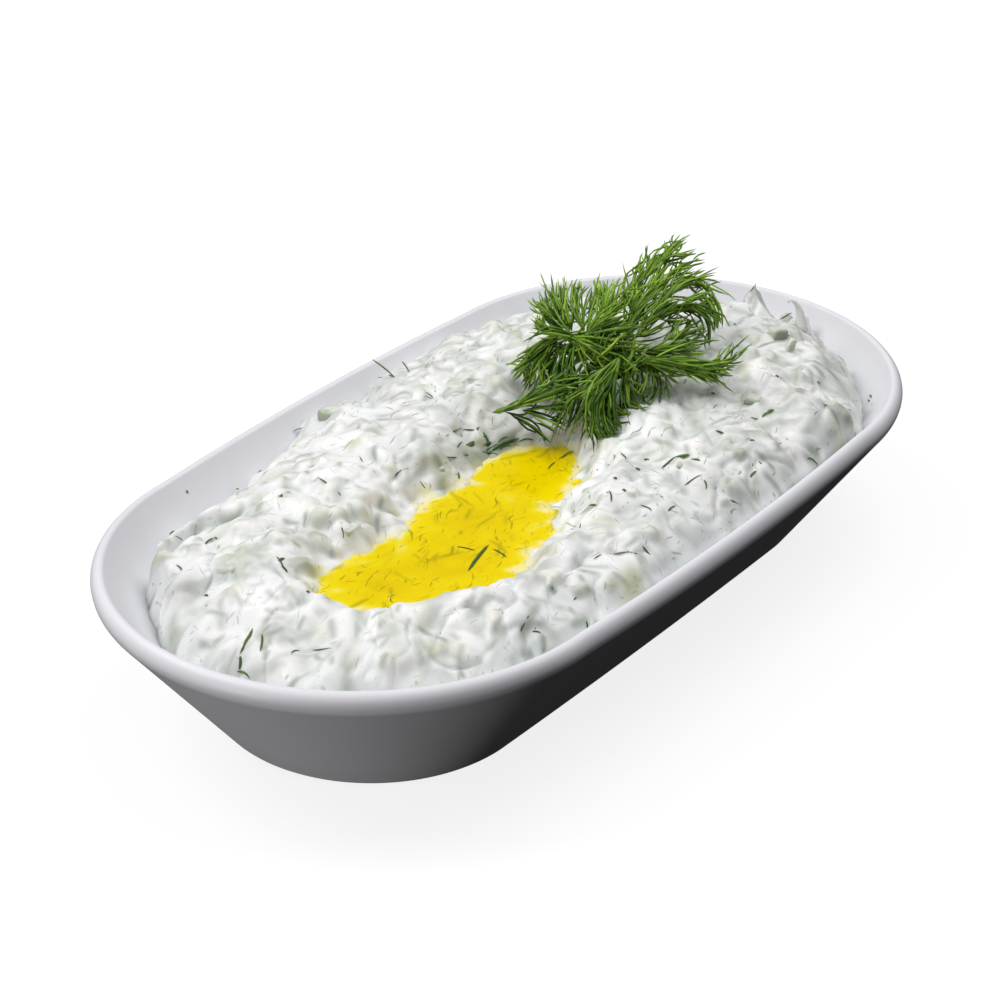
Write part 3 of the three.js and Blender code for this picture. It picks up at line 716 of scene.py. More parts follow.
def heap_grid():
    """Plan points of the heap's top: a plain grid in the middle and half discs at the ends."""
    i, j = np.meshgrid(np.arange(GRID_MIDDLE + 2 * GRID_END + 1.0), np.arange(GRID_ACROSS + 1.0),
                       indexing="ij")
    b = 2 * j / GRID_ACROSS - 1
    a = np.where(i < GRID_END, i - GRID_END, np.maximum(i - GRID_END - GRID_MIDDLE, 0)) / GRID_END
    foot = np.clip(2 * (i - GRID_END) / GRID_MIDDLE - 1, -1, 1) * END_CENTRE
    reach = np.maximum(np.abs(a), np.abs(b))
    with np.errstate(divide="ignore", invalid="ignore"):
        along = np.pi / 4 * (b / a) + np.where(a < 0, np.pi, 0)
        across = np.pi / 2 * np.sign(b) - np.pi / 4 * (a / b)
    angle = np.where((np.abs(a) >= np.abs(b)) & (reach > 0), along, across)
    angle = np.where(reach > 0, angle, np.pi / 2)
    radius = np.full_like(angle, END_RADIUS - 8)
    for _ in range(5):
        x, y = foot + radius * np.cos(angle), radius * np.sin(angle)
        radius = wall_radius(x, contact_height(x, y)) + WALL_OVERLAP
    return foot + reach * radius * np.cos(angle), reach * radius * np.sin(angle)


def heap_normals(x, y):
    step = 0.4
    rise_x = (finished_height(x + step, y) - finished_height(x - step, y)) / (2 * step)
    rise_y = (finished_height(x, y + step) - finished_height(x, y - step)) / (2 * step)
    normals = np.stack([-rise_x, -rise_y, np.ones_like(rise_x)], -1)
    return normals / np.linalg.norm(normals, axis=-1, keepdims=True)


def blurred(values, passes):
    """Values of the grid, averaged with their neighbours again and again."""
    for _ in range(passes):
        padded = np.pad(values, 1, mode="edge")
        values = (padded[:-2, 1:-1] + padded[2:, 1:-1] + padded[1:-1, :-2] + padded[1:-1, 2:] +
                  4 * values) / 8
    return values


def scattered_places(count, seed, margin):
    """Places on the heap, more of them towards the end with the sprig, each with its own draw."""
    draw = make_random(seed)
    places = []
    while len(places) < count:
        x, y = draw(-104, 104), draw(-54, 54)
        crowd = 0.5 + 0.5 * smooth_step(-20, 25, x)
        if inside_wall(x, y) > margin and in_hollow(x, y, 0) < 0 and draw() < crowd:
            places.append(np.array([x, y]))
    return places, draw


def stamp_strokes(x, y, strokes):
    """How strongly each point of the grid is covered by strokes: of dill under the surface, and on the
    heap also of painted shade.
    """
    cover = np.zeros(x.size)
    flat_x, flat_y = x.ravel(), y.ravel()
    order = np.argsort(flat_x)
    sorted_x = flat_x[order]
    for (cx, cy), angle, length, width, bend, strength in strokes:
        low, high = np.searchsorted(sorted_x, (cx - length, cx + length))
        near = order[low:high]
        dx, dy = flat_x[near] - cx, flat_y[near] - cy
        along = dx * math.cos(angle) + dy * math.sin(angle)
        off = -dx * math.sin(angle) + dy * math.cos(angle) - bend * (along / length) ** 2
        ends = np.clip(1 - (np.abs(along) / (length / 2)) ** 4, 0, 1)
        cover[near] = np.maximum(cover[near], strength * ends * np.exp(-(off / width) ** 2))
    return cover.reshape(x.shape)


def scatter_strokes(count, seed, length, width, strength):
    """Strokes of dill all over the heap, roughly along the way the spoon went."""
    places, draw = scattered_places(count, seed, 1)
    strokes = []
    for x, y in places:
        drag = 2.2 * wave_noise(x / 30, y / 30, 141) - 0.5
        strokes.append(((x, y), drag + draw(-0.9, 0.9), draw(*length), draw(*width),
                        draw(-1.6, 1.6), draw(*strength)))
    return strokes


# Soft streaks of dill that show one by one, and wider faint grey ones that are partly dill under the
# surface and partly painted shade on the shaded sides of lumps, as the x and y of their two ends in
# the photograph, width and strength.
STREAKS_AND_SHADE_SEEN = [
    (433, 458, 444, 494, 1.5, 0.5), (456, 455, 512, 441, 2.2, 0.7), (447, 446, 482, 452, 2, 0.5),
    (470, 444, 530, 436, 2.4, 0.45), (300, 650, 306, 672, 2.2, 0.25), (350, 646, 343, 676, 2.4, 0.25),
    (395, 640, 410, 668, 2.6, 0.25), (448, 632, 444, 668, 2.2, 0.22), (680, 500, 668, 528, 2.6, 0.25),
    (650, 520, 690, 540, 2.2, 0.25), (610, 500, 640, 530, 2, 0.25), (720, 470, 700, 500, 2.6, 0.3),
    (433, 458, 438, 466, 1.2, 0.8), (400, 483, 421, 472, 0.9, 0.5), (331, 548, 331, 558, 0.8, 0.5),
    (284, 520, 299, 523, 0.7, 0.6), (220, 563, 246, 560, 3.2, 0.3), (188, 596, 203, 613, 3.4, 0.25),
    (296, 594, 299, 606, 0.8, 0.5), (321, 594, 331, 603, 1.3, 0.5), (266, 609, 276, 614, 0.6, 0.4),
    (223, 671, 234, 674, 2.6, 0.35), (291, 654, 333, 649, 0.7, 0.4), (370, 641, 391, 634, 0.8, 0.4),
    (345, 640, 326, 654, 1.2, 0.25), (140, 598, 155, 593, 0.7, 0.5), (246, 498, 261, 493, 1.1, 0.3),
    (191, 525, 203, 523, 0.8, 0.3), (586, 473, 597, 458, 0.7, 0.45), (586, 511, 596, 506, 1.3, 0.7),
    (602, 495, 599, 501, 0.7, 0.5), (645, 475, 650, 488, 0.9, 0.45), (549, 586, 553, 591, 0.9, 0.8),
    (579, 576, 582, 583, 0.8, 0.5), (576, 596, 591, 591, 1.1, 0.65), (519, 636, 538, 604, 1.2, 0.65),
    (541, 634, 543, 654, 0.9, 0.6), (572, 624, 587, 621, 0.9, 0.6), (596, 621, 598, 632, 0.8, 0.55),
    (420, 641, 433, 656, 1.3, 0.5), (494, 631, 502, 629, 1.8, 0.5), (523, 656, 531, 654, 1, 0.6),
    (544, 657, 562, 652, 1, 0.6), (516, 578, 526, 578, 0.9, 0.4), (825, 368, 837, 380, 0.7, 0.7),
    (839, 364, 846, 376, 0.7, 0.55), (823, 404, 837, 424, 0.8, 0.7), (843, 418, 851, 423, 0.7, 0.6),
    (829, 454, 848, 445, 2.8, 0.35), (809, 449, 818, 455, 1.1, 0.5), (807, 459, 819, 466, 1, 0.6),
    (774, 451, 788, 447, 0.7, 0.5), (745, 436, 766, 437, 0.7, 0.45), (698, 429, 714, 447, 0.9, 0.45),
    (722, 447, 740, 461, 1.1, 0.5), (688, 410, 698, 434, 2.4, 0.45), (745, 398, 760, 401, 2.4, 0.4),
    (773, 326, 785, 342, 2.4, 0.4), (830, 356, 845, 380, 4.5, 0.16), (560, 640, 590, 612, 4, 0.16),
    (655, 440, 672, 447, 1, 0.6),
]
# Pieces of cucumber that show through the surface, as their place in the photograph and size.
WHEY_SEEN = [
    (308, 505, 2.8), (362, 514, 2.8), (280, 537, 2.4), (238, 560, 3.2), (162, 555, 2.4), (552, 576, 2.4),
    (570, 555, 2), (632, 590, 5), (762, 322, 2.4), (741, 403, 3), (752, 352, 3), (840, 448, 4),
    (440, 474, 3), (722, 370, 2.6), (385, 660, 3.4),
]


def strokes_and_shade_seen():
    strokes = []
    for start_x, start_y, end_x, end_y, width, strength in STREAKS_AND_SHADE_SEEN:
        (ax, ay, _), (bx, by, _) = on_surface((start_x, start_y)), on_surface((end_x, end_y))
        length = math.hypot(bx - ax, by - ay)
        strokes.append((((ax + bx) / 2, (ay + by) / 2), math.atan2(by - ay, bx - ax),
                        1.25 * length + width, width, 0.0, strength))
    return strokes


def scatter_whey(count, seed):
    """Places where a piece of cucumber lies just under the surface, as (x, y, size, angle)."""
    draw = make_random(seed)
    scattered = [(draw(-98, 98), draw(-50, 50), draw(1.2, 3.4), draw(0, math.pi))
                 for _ in range(count)]
    return scattered + [(*on_surface((px, py))[:2], size, draw(0, math.pi))
                        for px, py, size in WHEY_SEEN]


def patches(x, y, places):
    """1 over the buried pieces of cucumber and 0 between them, with soft edges."""
    cover = np.zeros_like(x)
    for cx, cy, size, angle in places:
        u = ((x - cx) * math.cos(angle) + (y - cy) * math.sin(angle)) / size
        v = (-(x - cx) * math.sin(angle) + (y - cy) * math.cos(angle)) / (0.62 * size)
        cover = np.maximum(cover, np.exp(-(u * u + v * v) ** 1.6))
    return cover


def close_below(top, tall, wide):
    """All points and faces of the heap, from the grid of its top."""
    index = np.arange(tall * wide).reshape(tall, wide)
    faces = np.stack([index[:-1, :-1], index[1:, :-1], index[1:, 1:], index[:-1, 1:]], -1)
    faces = faces.reshape(-1, 4).tolist()
    border = np.concatenate([index[:-1, 0], index[-1, :-1], index[:0:-1, -1], index[0, :0:-1]])
    points = [top]
    x, y, _ = top[border].T
    beyond = past_centre(x)
    upper = border.tolist()
    for z, inset in SIDE_BANDS:
        scale = (wall_radius(x, z) - inset) / np.hypot(beyond, y)
        points.append(np.column_stack([x - beyond + beyond * scale, y * scale, np.full_like(x, z)]))
        first = len(top) + (len(points) - 2) * len(x)
        lower = list(range(first, first + len(x)))
        faces += band(lower, upper)
        upper = lower
    faces.append(upper[::-1])
    return np.vstack(points), faces


def make_heap(material):
    x, y = heap_grid()
    share = relief_share(x, y)
    buried = patches(x, y, scatter_whey(170, 3391))
    strokes = scatter_strokes(460, 5519, (2, 7), (0.55, 0.8), (0.25, 0.65))
    strokes += scatter_strokes(680, 7741, (3, 11), (0.7, 1.9), (0.14, 0.46))
    # The heap's herb cover holds chopped dill and, in the wide faint strokes, painted shade.
    herbs_and_shade = stamp_strokes(x, y, strokes + strokes_and_shade_seen())
    rise = relief(x, y) * share + (0.8 * buried + 0.12 * herbs_and_shade) * np.clip(share * 1.3, 0, 1)
    top = np.stack([x, y, finished_height(x, y)], -1) + heap_normals(x, y) * rise[..., None]
    level = top[..., 2]
    # Painted shade: grey where the surface lies below its blurred level, in creases and hollows, and in a
    # band along the dish wall.
    crease = np.clip((blurred(level, 14) - level) / 0.6, 0, 1)
    wall_shade = smooth_step(9, 0, inside_wall(x, y))
    wall_shade = wall_shade * np.clip(0.55 + 1.2 * wave_noise(x / 8, y / 8, 195), 0, 1)
    tint = 0.32 + 0.5 * wave_noise(x / 9, y / 9, 171)
    over_oil = level - OIL_LEVEL - 2 * wave_noise(x / 4, y / 4, 181)
    shades = {
        "herb": herbs_and_shade,
        "oily": smooth_step(1.2, 0, over_oil) * smooth_step(0, 1.5, in_hollow(x, y, 3.5)) * 0.5,
        "whey": buried * tint,
        "crease": np.maximum(crease, 0.8 * wall_shade),
        "stirred": 0.6 + 0.4 * smooth_step(-50, 10, x + 20 * wave_noise(x / 25, y / 25, 197)),
    }
    points, faces = close_below(top.reshape(-1, 3), *x.shape)
    piece = new_mesh("haydari_heap", points, faces, material)
    below = np.zeros(len(points) - x.size)
    set_attributes(piece, **{name: np.append(shade, below) for name, shade in shades.items()})
    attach(piece, "root")
    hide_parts("haydari")


# The thin tip of yoghurt that bends over at the right end, as points in the photograph with their
# heights, and its radii.
TIP = [(802, 331, 37), (801, 318, 40.5), (798, 307, 43.2), (793, 301, 44.8), (789.5, 300.5, 45),
       (788.5, 303, 44.5)]
TIP_RADII = [2.3, 1.7, 1.0, 0.55, 0.4, 0.3]
TIP_STEPS = 18


def make_tip(material):
    pile = Pile()
    path = curve_through([seen_at(*place) for place in TIP], TIP_STEPS)
    radii = np.interp(np.linspace(0, 1, TIP_STEPS), np.linspace(0, 1, len(TIP_RADII)), TIP_RADII)
    # Painted shade: the tip turns greyer from its base to its thin end.
    pile.add_tube(path, radii, 12, (0.3, 0.7), flat=0.55)
    piece = pile.make("yoghurt_tip", material)
    set_attributes(piece, crease=np.concatenate(pile.tones))
    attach(piece, "root")


# -------------------------------------------------------------------------------------- the oil

OIL_CELL = 0.5
OIL_HIDDEN_EDGE = 0.8
SUNK_STROKES = 90


def make_oil():
    """The pool, with its edge hidden in the yoghurt that it lies against."""
    x, y = np.meshgrid(np.arange(-76, 20, OIL_CELL), np.arange(-34, 14, OIL_CELL), indexing="ij")
    depth = OIL_LEVEL - yoghurt_height(x, y)
    wet = (depth > -OIL_HIDDEN_EDGE) & (in_hollow(x, y, 4) > 0)
    wet_cells = wet[:-1, :-1] & wet[1:, :-1] & wet[1:, 1:] & wet[:-1, 1:]
    index = np.arange(x.size).reshape(x.shape)
    ripple = 0.05 * wave_noise(x / 6, y / 6, 151) * smooth_step(0, 2, depth)
    top = np.stack([x, y, OIL_LEVEL + ripple], -1).reshape(-1, 3)
    bottom = top - (0, 0, 1) * (np.clip(depth, 0, 9) + 0.6).reshape(-1, 1)
    faces = []
    edges = set()
    for i, j in zip(*np.nonzero(wet_cells)):
        ring = [index[i, j], index[i + 1, j], index[i + 1, j + 1], index[i, j + 1]]
        faces += [ring, [k + x.size for k in ring[::-1]]]
        edges.update(zip(ring, ring[1:] + ring[:1]))
    faces += [[b, a, a + x.size, b + x.size] for a, b in sorted(edges) if (b, a) not in edges]
    used, numbers = np.unique(np.array(faces), return_inverse=True)
    points = np.vstack([top, bottom])[used]
    piece = new_mesh("oil_pool", points, numbers.reshape(-1, 4).tolist(), olive_oil())
    draw = make_random(6007)
    sunk = [((draw(-74, 16), draw(-31, 10)), draw(-0.6, 1.4), draw(2, 8), draw(0.22, 0.5),
             draw(-2.5, 2.5), draw(0.12, 0.6)) for _ in range(SUNK_STROKES)]
    shallows = 1.1 * smooth_step(-0.1, 0.5, wave_noise(x / 5, y / 5, 191))
    seen_depth = np.clip(depth - shallows, 0, 9) / OIL_FULL_DEPTH
    set_attributes(piece, herb=np.tile(stamp_strokes(x, y, sunk).ravel(), 2)[used],
                   depth=np.tile(seen_depth.ravel(), 2)[used])
    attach(piece, "root")
    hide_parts("olive_oil")


# ----------------------------------------------------------------------------- the chopped dill

def add_blade(pile, start, end, width, tone, bend=0.0, lift=0.12):
    """A blade of chopped dill that lies on the heap from start to end, given in plan."""
    share = np.linspace(-1, 1, 7)
    x, y, straight = np.linspace(start, end, 7).T
    across = unit(np.array([start[1] - end[1], end[0] - start[0]]))
    x, y = x + bend * (1 - share ** 2) * across[0], y + bend * (1 - share ** 2) * across[1]
    heights = np.convolve(np.pad(resting_height(x, y), 1, mode="edge"), (0.25, 0.5, 0.25), "valid")
    heights = np.maximum(heights, straight) + lift
    radii = width / 2 * np.clip(1 - share ** 4, 0.15, 1)
    pile.add_tube(np.column_stack([x, y, heights]), radii, 5, (tone, tone), flat=0.5)


# Blades that show one by one, as the x and y of their two ends in the photograph, width and tone.
BLADES_SEEN = [
    (468, 572, 489, 545, 0.85, 0.35), (456, 547, 475, 551, 0.32, 0.25), (492, 549, 507, 558, 0.32, 0.3),
    (376, 378, 395, 378, 0.45, 0.5), (425, 392, 437, 402, 0.4, 0.4), (423, 396, 437, 402, 0.35, 0.4),
    (253, 628, 240, 656, 0.8, 0.6), (240, 656, 239, 672, 0.6, 0.3), (236, 672, 252, 682, 0.9, 0.5),
    (262, 634, 260, 652, 0.5, 0.4), (205, 545, 214, 538, 0.55, 0.4), (214, 538, 216, 540, 0.5, 0.5),
    (174, 536, 189, 545, 0.4, 0.2), (176, 565, 182, 571, 0.4, 0.3), (593, 560, 612, 554, 0.35, 0.2),
    (612, 554, 640, 556, 0.35, 0.2), (762, 418, 773, 411, 0.7, 0.9), (768, 413, 774, 410, 1, 1),
    (661, 469, 680, 456, 0.5, 0.2), (684, 486, 702, 475, 0.4, 0.6), (750, 480, 757, 471, 0.6, 0.6),
    (544, 657, 562, 652, 0.7, 0.4), (318, 478, 330, 487, 0.45, 0.2), (330, 487, 341, 497, 0.35, 0.2),
    (276, 501, 290, 492, 1, 0.75), (276, 556, 284, 570, 0.35, 0.3), (341, 527, 343, 540, 0.5, 0.6),
    (393, 478, 409, 469, 0.5, 0.2), (291, 654, 300, 651, 0.45, 0.3), (312, 651, 333, 649, 0.35, 0.2),
    (445, 438, 462, 428, 0.5, 0.4), (462, 430, 482, 438, 0.5, 0.5), (468, 448, 484, 441, 0.55, 0.4),
    (450, 452, 472, 456, 0.55, 0.2), (484, 452, 500, 444, 0.45, 0.35), (500, 446, 520, 438, 0.5, 0.2),
    (560, 459, 575, 450, 0.35, 0.2), (548, 470, 556, 462, 0.3, 0.2), (823, 404, 837, 424, 0.4, 0.2),
    (843, 418, 850, 423, 0.4, 0.2), (801, 380, 805, 381, 0.6, 0.5), (825, 368, 837, 380, 0.35, 0.3),
    (170, 535, 175, 531, 0.6, 0.8), (236, 489, 240, 492, 0.7, 0.7), (279, 562, 285, 559, 0.9, 0.4),
    (281, 566, 287, 573, 0.5, 0.3), (204, 596, 207, 597, 0.8, 0.3), (206, 607, 209, 610, 0.8, 0.2),
    (307, 593, 310, 593, 0.9, 0.4), (433, 459, 437, 465, 0.9, 0.3), (456, 450, 463, 442, 0.6, 0.6),
    (440, 458, 461, 458, 0.5, 0.3), (488, 455, 514, 443, 0.8, 0.3), (518, 443, 534, 441, 0.6, 0.4),
    (471, 441, 474, 447, 0.5, 0.6), (478, 449, 492, 442, 0.6, 0.3), (498, 451, 512, 446, 0.6, 0.5),
    (620, 453, 626, 460, 0.4, 0.4), (644, 461, 650, 460, 0.8, 0.4), (635, 468, 639, 471, 0.7, 0.4),
    (613, 478, 616, 480, 0.7, 0.2), (622, 490, 625, 492, 0.7, 0.3), (609, 491, 611, 503, 0.4, 0.3),
    (586, 510, 596, 506, 0.9, 0.6), (550, 587, 552, 591, 0.8, 0.1), (575, 596, 579, 595, 1, 0.4),
    (420, 627, 423, 628, 0.7, 0.4), (532, 632, 541, 634, 0.5, 0.4), (541, 634, 543, 654, 0.5, 0.3),
    (585, 621, 587, 629, 0.5, 0.4), (817, 382, 820, 385, 0.6, 0.3), (750, 441, 755, 441, 0.7, 0.2),
    (715, 431, 724, 434, 0.6, 0.3), (690, 460, 700, 461, 1, 0.7), (711, 393, 714, 395, 0.55, 0.4),
    (775, 376, 778, 378, 0.6, 0.4), (807, 459, 818, 466, 0.5, 0.3), (640, 505, 652, 512, 0.4, 0.3),
    (668, 512, 676, 506, 0.45, 0.5), (704, 480, 706, 490, 0.45, 0.6), (724, 498, 740, 506, 0.5, 0.3),
    (293, 432, 303, 428, 0.4, 0.4), (255, 478, 262, 470, 0.35, 0.4), (520, 634, 530, 615, 0.5, 0.2),
    (574, 601, 580, 596, 0.5, 0.3), (786, 339, 794, 334, 0.4, 0.3), (733, 323, 738, 330, 0.35, 0.3),
    (186, 491, 188, 494, 0.4, 0.4), (869, 395, 871, 398, 0.6, 0.4), (867, 400, 869, 402, 0.5, 0.3),
    (871, 404, 873, 406, 0.4, 0.3), (473, 444, 480, 426, 0.7, 0.7), (464, 447, 488, 436, 0.8, 0.6),
    (482, 432, 490, 446, 0.6, 0.7), (490, 452, 516, 440, 1, 0.5), (456, 461, 470, 455, 0.7, 0.6),
    (497, 444, 510, 438, 0.7, 0.7), (480, 452, 498, 455, 0.6, 0.4), (676, 458, 690, 455, 1, 0.8),
    (455, 470, 459, 480, 0.7, 0.5), (446, 488, 452, 478, 0.6, 0.4),
]
# Blades of which one end or both stand off the food: such an end has its height in millimetres too.
BLADES_RAISED = [
    ((371, 359, 40), (395, 378), 0.6, 0.55), ((401, 361, 40.5), (409, 373), 0.4, 0.5),
    ((780, 320, 41), (792, 313, 43.5), 0.8, 0.75),
]
# Keeps a blade short that would bridge a fold of the yoghurt, in millimetres a pixel.
LONGEST_PER_PIXEL = 0.42
BLADES_IN_OIL = 45


def place_of(place):
    """The point of a pixel, or of a pixel and a height."""
    return seen_at(*place) if len(place) == 3 else on_surface(place)


def add_blades_seen(pile):
    blades = [((ax, ay), (bx, by), width, tone) for ax, ay, bx, by, width, tone in BLADES_SEEN]
    for start, end, width, tone in blades + BLADES_RAISED:
        first, last = place_of(start), place_of(end)
        longest = LONGEST_PER_PIXEL * math.dist(start[:2], end[:2]) + 1.5
        share = min(1, longest / math.dist(first, last))
        add_blade(pile, first, first + share * (last - first), width, tone, 0.25, 0.1)


def make_chopped_dill():
    pile = Pile()
    add_blades_seen(pile)
    places, draw = scattered_places(400, 8887, 4.5)
    for place in places:
        angle, length = draw(0, 2 * math.pi), draw(0.8, 2.8)
        if draw() < 0.2:
            length += draw(1, 4)
        ahead = np.array([math.cos(angle), math.sin(angle), 0]) * length / 2
        middle = np.append(place, 0)
        add_blade(pile, middle - ahead, middle + ahead, draw(0.28, 0.55), draw(0.0, 0.6),
                  draw(-0.5, 0.5), draw(-0.32, -0.04))
    for _ in range(BLADES_IN_OIL):
        middle = np.array([draw(-68, 14), draw(-27, 8), 0])
        angle, length = draw(-0.8, 1.6), draw(0.5, 4.5)
        ahead = np.array([math.cos(angle), math.sin(angle), 0]) * length / 2
        width, bend = draw(0.14, 0.3), draw(-0.6, 0.6)
        if OIL_LEVEL - yoghurt_height(middle[0], middle[1]) > 0.5:
            add_blade(pile, middle - ahead, middle + ahead, width, 0.0, bend, -0.04)
    piece = pile.make("chopped_dill", dill("chopped_dill", (0.04, 0.07, 0.03), (0.12, 0.24, 0.035)))
    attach(piece, "root")


# --------------------------------------------------------------------------------- the cucumber

# Pieces that show one by one, as their place in the photograph, half sizes, how much of each
# stands out of the yoghurt and how much skin it has.
DICE_SEEN = [
    ((330, 414), (2.6, 1.8, 1.8), 0.38, 0.9), ((288, 497), (1.9, 1.2, 0.9), 0.05, 0.6),
    ((777, 335), (1.8, 2, 2.4), 0.32, 0.9), ((753, 399), (2, 1.8, 1.8), 0.12, 1),
    ((676, 462), (2.2, 1.4, 1.1), -0.1, 0.7), ((790, 350), (0.6, 0.8, 2.4), 0.55, 0.2),
    ((350, 525), (2.2, 1.4, 1.2), -0.1, 0.4), ((232, 562), (2.4, 2.2, 1.8), -0.1, 0.3),
    ((762, 322), (1.5, 1.2, 1.4), 0.2, 0.3), ((741, 403), (2.4, 2, 1.6), -0.05, 0),
    ((436, 466), (1.6, 2.2, 1.8), -0.05, 0.6),
]
DICE_STEPS = 5
DICE_SQUARENESS = 8


def rounded_block():
    """Points and faces of a block from -1 to 1 with rounded edges."""
    block = bmesh.new()
    bmesh.ops.create_cube(block, size=2)
    bmesh.ops.subdivide_edges(block, edges=block.edges, cuts=DICE_STEPS - 1, use_grid_fill=True)
    block.verts.index_update()
    points = np.array([point.co for point in block.verts])
    faces = [[point.index for point in face.verts] for face in block.faces]
    rounding = (np.abs(points) ** DICE_SQUARENESS).sum(axis=1) ** (1 / DICE_SQUARENESS)
    block.free()
    return points / rounding[:, None], faces


def add_dice(pile, block, place, half_sizes, lift, skin, draw):
    """A piece of cucumber with its skin on the side towards the dish's near left end."""
    points, faces = block
    turn = Matrix.Rotation(draw(-3.2, -1.9), 3, "Z") @ Matrix.Rotation(draw(-0.5, 0.5), 3, "X")
    bumps = 1 + 0.12 * wave_noise(points[:, 0] * 1.3 + draw(0, 90),
                                  points[:, 1] * 1.3 + points[:, 2], 161)
    shaped = points * half_sizes * bumps[:, None] @ np.array(turn).T
    centre = np.array([*place[:2], resting_height(*place[:2]) + half_sizes[2] * (2 * lift - 1)])
    pile.add(shaped + centre, faces, skin * smooth_step(0.2, 0.9, points[:, 0]))


def make_cucumber():
    pile = Pile()
    block = rounded_block()
    draw = make_random(4421)
    for pixel, half_sizes, lift, skin in DICE_SEEN:
        add_dice(pile, block, on_surface(pixel), half_sizes, lift, skin, draw)
    piece = pile.make("cucumber_dice", cucumber())
    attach(piece, "root")


# ---------------------------------------------------------------------------- the sprig of dill

